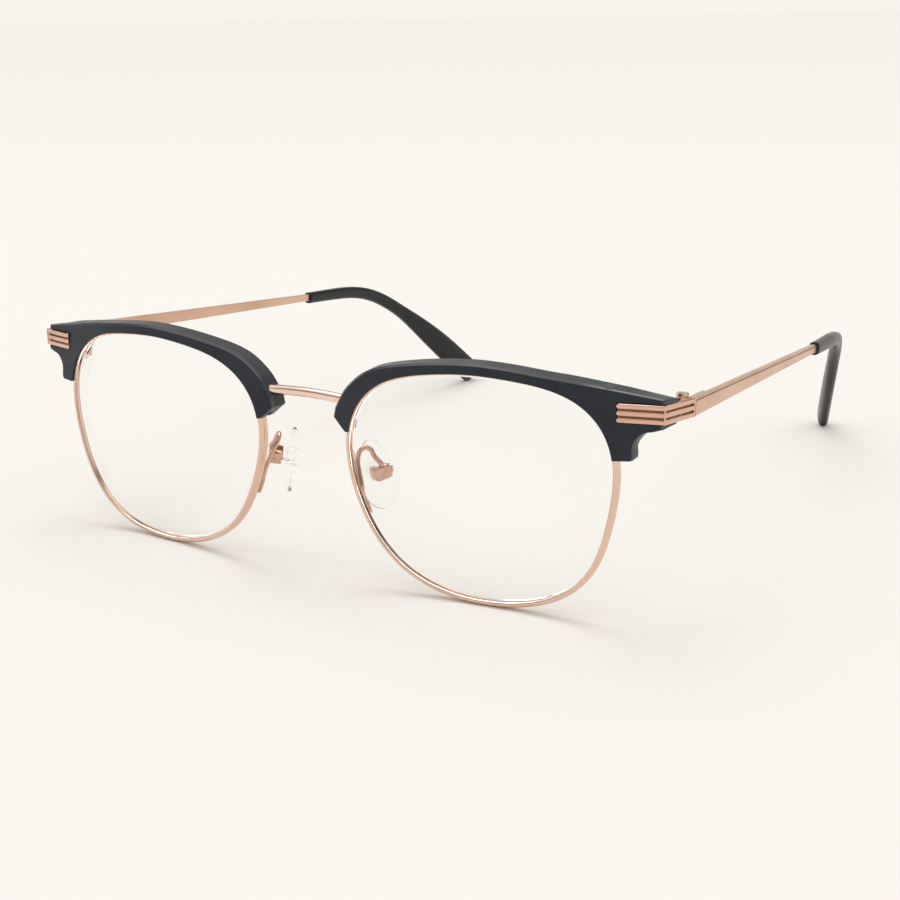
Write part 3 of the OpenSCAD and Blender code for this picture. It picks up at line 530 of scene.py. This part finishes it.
def eased(points, index, reach, steps=6):
    """Rounds one corner of a line of [angle, u, v] points."""
    p = [np.asarray(q, float) for q in points]
    b = p[index]

    def back(q):
        return b + (q - b) * min(0.49, reach / np.linalg.norm((q - b)[1:]))
    s, e = back(p[index - 1]), back(p[index + 1])
    arc = [(1 - t) ** 2 * s + 2 * (1 - t) * t * b + t * t * e for t in np.linspace(0, 1, steps)]
    return p[:index] + arc + p[index + 1:]


def brow_outline():
    """The brow's outer edge as [eyewire angle that it faces, u, v], from the leg to the nasal end."""
    leg = spline([(18.2, LEG_U + 0.05, LEG_LOW), (18.9, LEG_U + 0.42, LEG_LOW + 0.45),
                  (20.4, LEG_U + 0.42, LEG_LOW + 1.4)], 4)[:-1]
    hollow = []
    for t in np.linspace(0, 1, 15):
        turn = math.pi * (1 - t / 2)
        hollow.append((22.4 + 10.5 * t, LEG_U + 0.35 + LEG_HOLLOW * (1 + math.cos(turn)),
                       WING_LOW + LEG_HOLLOW * (math.sin(turn) - 1)))
    rises = [(46, BROW_RISE + 1.25), (56, BROW_RISE + 0.2), (75, BROW_RISE), (95, BROW_RISE),
             (120, BROW_RISE + 0.2), (138, NASAL_RISE - 1.0), (149, NASAL_RISE - 0.35),
             (157.5, NASAL_RISE)]
    top = [(38, WING_U, WING_TOP)] + [(a, *out_pt(a, WIRE_MID + r)[0]) for a, r in rises]
    top = spline(top, 14)
    knee = out_pt(160.4, WIRE_MID + NASAL_RISE - 0.15)[0]
    end = out_pt(163.4, WIRE_MID + 0.8)[0]
    nasal = [(160.4 + 3 * t, *lerp(knee, end, t)) for t in np.linspace(0, 1, 8)]
    points = [np.array(q, float) for q in leg] + [np.array(q) for q in hollow]
    low_corner = len(points)
    points += [np.array((35.4, WING_U, WING_LOW + WING_LIFT))]
    points += list(top) + [np.array(q) for q in nasal]
    points = eased(points, low_corner + 1, 0.35)
    points = eased(points, low_corner, 0.3)
    return np.array(points)


def make_brows(cutters):
    """The brows: sections along the outline, from the inner front edge round to the wire's channel."""
    line = brow_outline()
    angle, outer = line[:, 0], line[:, 1:]
    inner = out_pt(angle, WIRE_MID - 0.2)
    channel = out_pt(angle, WIRE_OUT + BROW_PLAY)
    edge = outer + unit(inner - outer) * BROW_BEVEL
    front = brow_front(*outer.T)
    wing = smooth((outer[:, 0] - LENS_W / 2) / WING_REACH)
    leg = smooth((WING_LOW - outer[:, 1]) / 2.6) * (angle < 90)
    deep = lerp(BROW_D, WING_BACK, wing) * lerp(1, LEG_DEPTH_SHARE, leg)
    fall = WING_FALL * wing * smooth((outer[:, 1] - WING_LOW - 1) / 3)
    rear = inner + (channel - inner) * (0.9 * leg)[:, None]
    slope = wing * math.tan(SPLAY + FACE_FORM)
    half = WIRE_D / 2 + BROW_PLAY
    rings = [flat(*p.T, brow_front(*p.T)) for p in (inner, (inner + edge) / 2, edge)]
    rings += [flat(outer[:, 0] + slope * BROW_BEVEL, outer[:, 1], front + BROW_BEVEL),
              flat(outer[:, 0] + slope * deep, outer[:, 1] - fall, front + deep),
              dished(*rear.T, lerp(BROW_BACK, half + 0.45, leg)), dished(*rear.T, half),
              dished(*channel.T, half), dished(*channel.T, -half), dished(*inner.T, -half)]
    verts, faces = skin(np.stack(rings, 1))
    brows = pair("brow", verts, faces, "front", BROW_SHEEN, "brow", sharp=25)
    bevel_row, outer_row = 2, 3
    # The bevel row gets a painted highlight, and the outer row is painted lighter as painted light from
    # above
    for brow in brows:
        brow.data.materials.append(BROW_ARRIS_HIGHLIGHT)
        brow.data.materials.append(BROW_OUTER_PAINTED_LIGHT)
        for i in range(len(line) - 1):
            brow.data.polygons[i * len(rings) + bevel_row].material_index = 1
            brow.data.polygons[i * len(rings) + outer_row].material_index = 2
    for brow, side in zip(brows, (1, -1)):
        cut_out(brow, side, cutters)
        brow.data.set_sharp_from_angle(angle=math.radians(22))
        bevel(brow, 0.06, 2, 28)


def cut_out(piece, side, cutters):
    """Takes solids given for the left-hand side out of a piece on either side."""
    for points, quads in cutters:
        tool = mesh_piece("pocket", np.asarray(points) * [side, 1, 1],
                          quads if side == 1 else [f[::-1] for f in quads])
        cut = piece.modifiers.new("pocket", "BOOLEAN")
        cut.object = tool
        cut.operation = "DIFFERENCE"
        cut.solver = "EXACT"
        apply_top(piece)
        bpy.data.objects.remove(tool)
    piece.data.shade_smooth()


def apply_top(piece):
    """Applies a piece's modifiers to its mesh."""
    graph = bpy.context.evaluated_depsgraph_get()
    made = bpy.data.meshes.new_from_object(piece.evaluated_get(graph))
    old = piece.data
    name = old.name
    piece.modifiers.clear()
    piece.data = made
    bpy.data.meshes.remove(old)
    made.name = name


def block(frame, low, high):
    """A box in a frame, as points and faces."""
    x0, y0, z0 = low
    x1, y1, z1 = high
    pts = [(x, y, z) for z in (z0, z1) for x, y in ((x0, y0), (x1, y0), (x1, y1), (x0, y1))]
    verts = [frame.at(*p) for p in pts]
    faces = [(0, 3, 2, 1), (4, 5, 6, 7), (0, 1, 5, 4), (1, 2, 6, 5), (2, 3, 7, 6), (3, 0, 4, 7)]
    return verts, faces


def rod(frame, radius, low, high, sides=32):
    """A round bar along a frame's z, as points and faces."""
    t = np.arange(sides) * 2 * math.pi / sides
    rings = [frame.at(radius * np.cos(t), radius * np.sin(t), np.full(sides, h)) for h in (low, high)]
    return skin(rings)


# Temples and tips

def make_temples():
    """The temples: a flat tapered bar with a narrow facet in painted shade under its upper outer chamfer.
    """
    rings = []
    half = TEMPLE_T / 2
    for s in np.concatenate([[0, 0.002], np.linspace(0.02, 0.98, 40), [1]]):
        top = lerp(TEMPLE_H / 2 - TEMPLE_TOP_LESS, TEMPLE_END_H / 2 - TEMPLE_TOP_LESS, s)
        foot = lerp(-TEMPLE_H / 2 + TEMPLE_FOOT_LESS, -TEMPLE_END_H / 2 + TEMPLE_END_FOOT_LESS, s)
        c = TEMPLE.at(SKIN_X - half, lerp(SEAM_GAP / 2, TEMPLE_L - 0.05, s), 0)
        corners = [(half, foot), (half, top - 0.52), (half - 0.1, top - 0.26), (half - 0.3, top),
                   (-half, top), (-half, foot)]
        section = rounded_profile(corners, [0.13, 0.03, 0.03, 0.05, 0.16, 0.16], 3)
        rings.append(np.array([c + a * TEMPLE.x + b * TEMPLE.z for a, b in section[::-1]]))
    verts, faces = skin(rings)
    # The narrow facet under the upper outer chamfer takes the darker rose metal: painted shade
    facet_row = 15
    temples = pair("temple", verts, faces, "temple_{hand}", ROSE_SATIN, "temple", sharp=22)
    for temple in temples:
        temple.data.materials.append(ROSE_PAINTED_SHADE)
        for i in range(len(rings) - 1):
            temple.data.polygons[i * len(section) + facet_row].material_index = 1


# The tip's direction at its end: inward, back and down
TIP_END_DIR = unit(np.array([-0.38, 1, -0.98]))


def tip_line(z):
    """The four control points of a tip's middle line, whose end is z high."""
    e = np.array([TIP_START[0] - TIP_INSET, TIP_START[1] + TIP_REACH - FLARE_BACK, z])
    return [TIP_START, TIP_START + TIP_LEAD * TEMPLE.y, e - TIP_TAIL * TIP_END_DIR, e]


def tip_ring(c, d, w, t, k, sides=40):
    """A squarish oval round c and across d, w tall and t thick, scaled by k."""
    s = unit(np.cross(d, [0, 0, 1]))
    up = np.cross(d, s)
    a = np.arange(sides) * 2 * math.pi / sides
    m = (np.abs(np.cos(a)) ** 2.6 + np.abs(np.sin(a)) ** 2.6) ** (-1 / 2.6)
    return c + k * (m * t / 2 * np.cos(a))[:, None] * s + k * (m * w / 2 * np.sin(a))[:, None] * up


def make_tips():
    """The tips: slim sleeves that widen late, with a rounded end on the floor."""
    start_t = TIP_T - 0.4
    cap = 0.36 * TIP_END_W

    def rings(z):
        p = tip_line(z)
        out = []
        for k in (0.5, 0.8, 0.93, 0.985):
            mouth = p[0] + TEMPLE.y * 0.35 * (1 - math.sqrt(1 - k ** 2 * 0.96))
            out.append(tip_ring(mouth, TEMPLE.y, TIP_START_W, start_t, k))
        for t in np.linspace(0.006, 1, 110):
            width = lerp(TIP_START_W + 0.8 * t, FLARE_W, smooth((t - 0.64) / 0.3))
            thick = lerp(start_t, TIP_T, smooth(t * 4))
            out.append(tip_ring(bezier(p, t)[0], bezier_dir(p, t)[0], width, thick, 1))
        for t in np.linspace(0.08, 1, 16):
            k = max(math.sqrt(1 - t ** 2.2), 0.05)
            out.append(tip_ring(p[3] + t * cap * TIP_END_DIR, TIP_END_DIR, FLARE_W, TIP_T, k))
        return out
    trial = rings(0)
    z = -min(r[:, 2].min() for r in trial)
    verts, faces = skin(rings(z))
    pair("temple_tip", verts, faces, "temple_{hand}", TIP_GLOSS, "temple_tip", sharp=50)


# Nose pads and their arms

def make_pads():
    """The pads: a teardrop cushion, domed towards the nose."""
    a = np.arange(0, 360, 5) * math.pi / 180
    rings = []
    for t in np.linspace(0, 1, 22):
        turn = math.pi * t
        z = (-0.5 if t < 0.5 else -0.42) * math.cos(turn)
        k = max((math.sin(turn) ** 2) ** 0.21, 0.06)
        teardrop = 1 - 0.16 * np.sin(a)
        rings.append(PAD.at(k * PAD_W / 2 * np.cos(a) * teardrop, k * PAD_H / 2 * np.sin(a), z * PAD_T))
    verts, faces = skin(rings)
    pair("nose_pad", verts, faces, "nose_pad_{hand}", PAD_CLEAR, "nose_pad", sharp=60)


# Middle of the pad screw in the pad's frame, and the size of the pad box
PIVOT = (-0.6, 1.0, 2.9)
BOX_W, BOX_H, BOX_FLOOR = 3.4, 2.7, 0.85


def make_arms():
    """The pad arms: a wire up the back of the eyewire that loops over to the pad box."""
    seat = -(WIRE_D + ARM_D) / 2 - 0.11
    end = PAD.at(*(np.array(PIVOT) + [0, 1.36, 1.1]))
    top = PAD.at(*(np.array(PIVOT) + [0, 1.35, 0.2]))
    line = [wire_frame(ARM_ANGLE + 7).at(0.1, 0, seat), wire_frame(ARM_ANGLE).at(0.1, 0, seat)]
    line += [top + np.array(k) for k in [(-0.35, -4.85, -4.4), (-0.8, -4.5, -2.6), (-1.6, -4.0, -0.6),
                                        (-2.3, -3.35, 1.3), (-2.5, -2.4, 2.75), (-1.95, -1.4, 3.4),
                                        (-1.1, -0.85, 2.9), (-0.45, -0.75, 1.75)]]
    line += [end + 0.5 * PAD.y, end]
    route = spline(line, 12)
    side = None
    rings = []
    t = np.arange(16) * 2 * math.pi / 16
    for i, c in enumerate(route):
        d = unit(route[min(i + 1, len(route) - 1)] - route[max(i - 1, 0)])
        s = unit(np.cross(d, [1, 0.2, 0.1])) if side is None else unit(side - np.dot(side, d) * d)
        side = s
        grow = 1 if i > 2 else (0.5, 0.85, 0.97)[i]
        circle = np.cos(t)[:, None] * s + np.sin(t)[:, None] * np.cross(d, s)
        rings.append(c + 0.5 * ARM_D * grow * circle)
    verts, faces = skin(rings)
    pair("pad_arm", verts, faces, "front", ROSE_WIRE, "pad_arm", sharp=50)


def make_pad_boxes():
    """A rounded box whose two cheeks hold the eye of the pad's insert."""
    w, h = BOX_W / 2, BOX_H / 2
    x, y = rounded_profile([(-w, -h), (w, -h), (w, h), (-w, h)], 0.75, 7).T
    layers = [(-1.05, 0.93), (-0.97, 0.985), (-0.85, 1), (0.95, 1), (1.15, 0.985), (1.3, 0.93),
              (1.4, 0.84), (1.45, 0.7)]
    rings = [PAD.at(PIVOT[0] + k * x, PIVOT[1] + k * y, PIVOT[2] + z) for z, k in layers]
    verts, faces = skin(rings)
    slot = Frame(PAD.at(*PIVOT), PAD.x, PAD.y, PAD.z)
    boxes = pair("pad_box", verts, faces, "front", ROSE_WIRE, "pad_box")
    for box, side in zip(boxes, (1, -1)):
        cut_out(box, side, [block(slot, (-0.66, -3, -2), (0.66, 3, BOX_FLOOR))])
        box.data.set_sharp_from_angle(angle=math.radians(35))
        bevel(box, 0.06, 2, 40)


# End pieces

def joined(*parts):
    """Several skins as one."""
    verts, faces = [], []
    for v, f in parts:
        faces += [tuple(i + len(verts) for i in face) for face in f]
        verts += list(v)
    return verts, faces


def make_end_pieces():
    """Three crowned ribs that run round the corner to the seam, on a base with a shank to the rim lock."""
    to_back, to_head = PLATE.y, -SIDE.x
    mitre = (to_back + to_head) / (1 + np.dot(to_back, to_head))
    skew = to_head - math.tan(SPLAY + TOE_IN) * SIDE.y
    end = SIDE_L - SEAM_GAP / 2 / math.cos(SPLAY + TOE_IN)
    rib_w = (PLATE_H - 2 * RIB_GAP) / 3
    nose = rib_w / 2

    def ring(s, section, inward=None):
        """A section of [depth, height] points at s along the plate (below 0) or the side (above 0)."""
        place = PLATE.at(s, 0, 0) if s < 0 else CORNER + s * SIDE.y
        up = SIDE.z if s > 0 else PLATE.z
        if inward is None:
            inward = to_back if s < 0 else to_head if s > 0 else mitre
        return np.array([place + d * inward + z * up for d, z in section])

    def rib(z, w, sink=0.0):
        """The crowned section of the rib at height z, from its top wall round to its bottom wall."""
        side = [(RIB_H + 0.06, 1), (0.24, 1), (0.15, 0.95), (0.085, 0.84), (0.04, 0.66),
                (0.012, 0.4), (0, 0)]
        half = [(max(d, sink), z + w * h) for d, h in side]
        other = [(d, 2 * z - h) for d, h in half[-2::-1]]
        return half + other

    parts = []
    for z in (-rib_w - RIB_GAP, 0, rib_w + RIB_GAP):
        rings = []
        for turn in np.radians([6, 16, 28, 40, 55, 72, 90]):
            s = -PLATE_L + nose * (1 - math.cos(turn))
            rings.append(ring(s, rib(z, nose * math.sin(turn), 0.14 * (1 - math.sin(turn)))))
        section = rib(z, nose)
        rings += [ring(0, section), ring(end - 0.3, section)]
        parts.append(skin(rings))
    b = PLATE_H / 2 - 0.1
    base = [(RIB_H, -b), (PLATE_T, -b), (PLATE_T, b), (RIB_H, b)]
    parts.append(skin([ring(-PLATE_L + 0.12, base), ring(0, base), ring(end - 0.02, base)]))

    # The band at the seam, the bead in the mitre and the shank
    b = PLATE_H / 2
    band = rounded_profile([(0, -b), (PLATE_T, -b), (PLATE_T, b), (0, b)], 0.1, 3)
    parts.append(skin([ring(end - 0.42, band * [1, 0.985] + [0.06, 0]), ring(end - 0.36, band),
                       ring(end - 0.05, band, skew), ring(end, band * [0.96, 0.975] + [0.04, 0], skew)]))
    bead = Frame(CORNER + 0.11 * mitre, PLATE.x, PLATE.y, PLATE.z)
    parts.append(rod(bead, 0.16, -b + 0.03, b - 0.03, 16))
    foot = wire_frame(LOCK_ANGLE).at(2.1, 1.0, -BROW_BACK - 2.1)
    head = SIDE.at(SKIN_X - PLATE_T / 2, 6.6 - SIDE_L, -0.1)
    x = unit(head - foot)
    y = unit(np.cross([0, 0, 1], x))
    shank = Frame(foot, x, y, np.cross(x, y))
    parts.append(block(shank, (-0.7, -0.6, -1.1), (np.linalg.norm(head - foot), 0.6, 1.1)))
    verts, faces = joined(*parts)

    # Rib walls and groove floors in painted shade, and each rib's upper edge in the lighter, glossier
    # finish as a painted highlight
    sides = len(section)
    rib_faces = (len(rings) - 1) * sides + 2
    satin, painted_shade, polished_and_highlight = 0, 1, 2
    finish_of = {0: painted_shade, sides - 2: painted_shade, 1: polished_and_highlight, 2: polished_and_highlight}
    for piece in pair("end_piece", verts, faces, "front", ROSE_PLATE, "end_piece", sharp=40):
        piece.data.materials.append(ROSE_PAINTED_SHADE)
        piece.data.materials.append(ROSE_POLISHED_AND_HIGHLIGHT)
        for k in range(3):
            for i in range(rib_faces - 2):
                piece.data.polygons[k * rib_faces + i].material_index = finish_of.get(i % sides, satin)
        for i in (3, 7):
            piece.data.polygons[3 * rib_faces + i].material_index = painted_shade
        bevel(piece, 0.03, 2, 50)


# Where things sit

CORNER = flat(WING_U, WING_TOP - PLATE_DROP, brow_front(np.float64(WING_U), WING_TOP - PLATE_DROP))
CORNER = CORNER + np.array([PLATE_PROUD, -PLATE_PROUD, 0])
plate_along = np.array([math.cos(PLATE_WRAP), math.sin(PLATE_WRAP), 0])
PLATE = Frame(CORNER, plate_along, np.cross([0, 0, 1], plate_along), [0, 0, 1])
SEAM = CORNER + SIDE_L * np.array([math.sin(SPLAY) * math.cos(DROOP), math.cos(SPLAY) * math.cos(DROOP),
                                   -math.sin(DROOP)])
SKIN_X = TEMPLE_T + BARREL_R + 0.1
across = np.array([math.cos(TOE_IN), math.sin(TOE_IN), 0])
along = np.array([-math.sin(TOE_IN) * math.cos(DROOP), math.cos(TOE_IN) * math.cos(DROOP),
                  -math.sin(DROOP)])
TEMPLE = Frame(SEAM - SKIN_X * across, across, along, np.cross(across, along))
SIDE = TEMPLE.turned(-SPLAY - TOE_IN)
TIP_START = TEMPLE.at(SKIN_X - TEMPLE_T / 2, TEMPLE_L, 0)
pad_up = unit(np.array([-math.sin(PAD_LEAN), -math.sin(PAD_LEAN / 2), 1]))
pad_out = unit(np.cross([math.sin(PAD_SPLAY), math.cos(PAD_SPLAY), 0], pad_up))
pad_mid = [PAD_SPAN / 2, FRONT_Y + PAD_BACK, LENS_Z - PAD_BELOW]
PAD = Frame(pad_mid, np.cross(pad_up, pad_out), pad_up, pad_out)


def bridge_cut():
    """The bridge bar's path through the nasal end of a brow."""
    z = LENS_Z + BRIDGE_RISE
    wire = [dished(*out_pt(a, WIRE_OUT)[0], 0) for a in np.arange(140, 165, 0.5)]
    half = next(p[0] for p in wire if p[2] < z)
    r = (half * half + BRIDGE_ARCH ** 2) / (2 * BRIDGE_ARCH)
    a = np.linspace(math.asin(4 / r), math.asin((half + 1) / r), 24)
    t = np.arange(24) * 2 * math.pi / 24
    k = BRIDGE_D / 2 + BROW_PLAY
    rings = []
    for b in a[::-1]:
        up = np.array([math.sin(b), 0, math.cos(b)])
        c = np.array([0, FRONT_Y + BRIDGE_BACK, z + BRIDGE_ARCH - r]) + r * up
        rings.append(c + k * (np.cos(t)[:, None] * np.array([0, 1, 0]) - np.sin(t)[:, None] * up))
    return skin(rings)


# What is cut out of a brow: plate, side, rim lock, tab, bridge and the slot in its nasal end
lock = wire_frame(LOCK_ANGLE)
tab = wire_frame(TAB_ANGLE)
nasal = wire_frame(163)
plate_high = PLATE_H / 2 + BROW_PLAY
tab_side, tab_end, tab_seat = 1.21, 1.8, -2.17
CUTTERS = [
    block(PLATE, (-PLATE_L - BROW_PLAY, -3, -plate_high), (3, PLATE_T + BROW_PLAY, plate_high)),
    block(SIDE, (SKIN_X - PLATE_T - BROW_PLAY, -SIDE_L - 3, -plate_high), (SKIN_X + 3, 0, plate_high)),
    block(lock, (-2, -2.65, -9), (2.95, 2.05, -0.2)),
    block(tab, (-3, -tab_side, -9), (0.41, tab_side, -WIRE_D / 2)),
    block(tab, (-3, -tab_side, -9), (tab_end, tab_side, tab_seat)),
    rod(Frame(tab.at(tab_end, 0, 0), tab.x, tab.y, tab.z), tab_side, -9, tab_seat),
    bridge_cut(),
    block(nasal, (-1.5, -0.9, -1.05), (1.9, 2, -0.15)),
]

make_rims()
make_lenses()
make_brows(CUTTERS)
make_temples()
make_tips()
make_pads()
make_arms()
make_pad_boxes()
make_end_pieces()

# The exact CAD pieces that stay
KEPT = {
    ROSE_POLISHED_AND_HIGHLIGHT: ["bridge", "brow_tab_left", "brow_tab_right", "rim_lock_left", "rim_lock_right",
                    "hinge_front_left", "hinge_front_right"],
    ROSE_SATIN: ["hinge_temple_left", "hinge_temple_right"],
    SCREW: ["brow_screws", "rim_screw_left", "rim_screw_right", "hinge_screw_left", "hinge_screw_right",
            "pad_screw_left", "pad_screw_right"],
    PAD_CLEAR: ["pad_insert_left", "pad_insert_right"],
}
for material, nodes in KEPT.items():
    for name in nodes:
        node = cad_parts[name]
        node.data.materials.clear()
        node.data.materials.append(material)
        if name != "bridge":
            bevel(node, 0.05, 3, 35)


# Studio

def studio():
    """Pale floor, soft lights, and a surround that is grey from low to mid height and pale above."""
    far = 60000
    corners = [(-far, -far, 0), (far, -far, 0), (far, far, 0), (-far, far, 0)]
    floor = mesh_piece("floor", corners, [(0, 1, 2, 3)])
    paper = bpy.data.materials.new("pale paper")
    paper.use_nodes = True
    bsdf = paper.node_tree.nodes["Principled BSDF"]
    bsdf.inputs["Base Color"].default_value = shade(247, 245, 241)
    bsdf.inputs["Roughness"].default_value = 0.95
    bsdf.inputs["Specular IOR Level"].default_value = 0.0
    floor.data.materials.append(paper)

    world = bpy.data.worlds.new("pale surround")
    bpy.context.scene.world = world
    world.use_nodes = True
    nodes, links = world.node_tree.nodes, world.node_tree.links
    sky = nodes.new("ShaderNodeTexCoord")
    height = nodes.new("ShaderNodeSeparateXYZ")
    bands = nodes.new("ShaderNodeValToRGB")
    ramp = bands.color_ramp
    pale = shade(247, 244, 237)
    stops = [(0.0, pale), (0.3, pale), (0.4, (0.2, 0.19, 0.18, 1)), (0.58, (0.22, 0.21, 0.2, 1)),
             (0.74, (1.12, 1.1, 1.07, 1))]
    while len(ramp.elements) < len(stops):
        ramp.elements.new(0.5)
    for element, (place, colour) in zip(ramp.elements, stops):
        element.position = place
        element.color = colour
    links.new(sky.outputs["Generated"], height.inputs[0])
    links.new(height.outputs["Z"], bands.inputs["Fac"])
    links.new(bands.outputs["Color"], nodes["Background"].inputs["Color"])
    nodes["Background"].inputs["Strength"].default_value = 1.0

    sun = bpy.data.lights.new("key_light", "SUN")
    sun.energy = 0.58
    sun.angle = math.radians(40)
    key = bpy.data.objects.new("key_light", sun)
    bpy.context.scene.collection.objects.link(key)
    key.rotation_euler = Vector((0.3, -0.2, -1)).to_track_quat("-Z", "Y").to_euler()

    def softbox(name, place, target, size, power):
        """A rectangular lamp at a place, turned to its target."""
        lamp = bpy.data.lights.new(name, "AREA")
        lamp.shape = "RECTANGLE"
        lamp.size, lamp.size_y = size
        lamp.energy = power
        holder = bpy.data.objects.new(name, lamp)
        bpy.context.scene.collection.objects.link(holder)
        holder.location = place
        holder.rotation_euler = (Vector(target) - Vector(place)).to_track_quat("-Z", "Y").to_euler()

    softbox("top_light", (0.1, 0.3, 1.6), (0, -0.02, 0), (1.4, 0.9), 1.2)
    softbox("left_light", (-1.5, -0.9, 0.8), (0, -0.02, 0.02), (0.5, 1.1), 1.4)


def camera():
    """The photograph's viewing angle: the focal length is 1514.9 pixels in a frame 900 wide."""
    az, el, roll = math.radians(31.183), math.radians(16.193), math.radians(-0.880)
    back = Vector((math.sin(az) * math.cos(el), -math.cos(az) * math.cos(el), math.sin(el)))
    right = Vector((math.cos(az), math.sin(az), 0))
    up = back.cross(right)
    x = math.cos(roll) * right + math.sin(roll) * up
    y = -math.sin(roll) * right + math.cos(roll) * up
    eye = Vector((158.167, -210.297 + FRONT_Y, 99.439)) * MM
    lens = bpy.data.cameras.new("camera")
    lens.sensor_width = 36
    lens.lens = 1514.9 / 900 * 36
    lens.clip_start = 0.01
    lens.clip_end = 20
    holder = bpy.data.objects.new("camera", lens)
    bpy.context.scene.collection.objects.link(holder)
    holder.matrix_world = Matrix(((x[0], y[0], back[0], eye[0]), (x[1], y[1], back[1], eye[1]),
                                  (x[2], y[2], back[2], eye[2]), (0, 0, 0, 1)))
    bpy.context.scene.camera = holder


bpy.context.scene.view_settings.view_transform = "Standard"
studio()
camera()
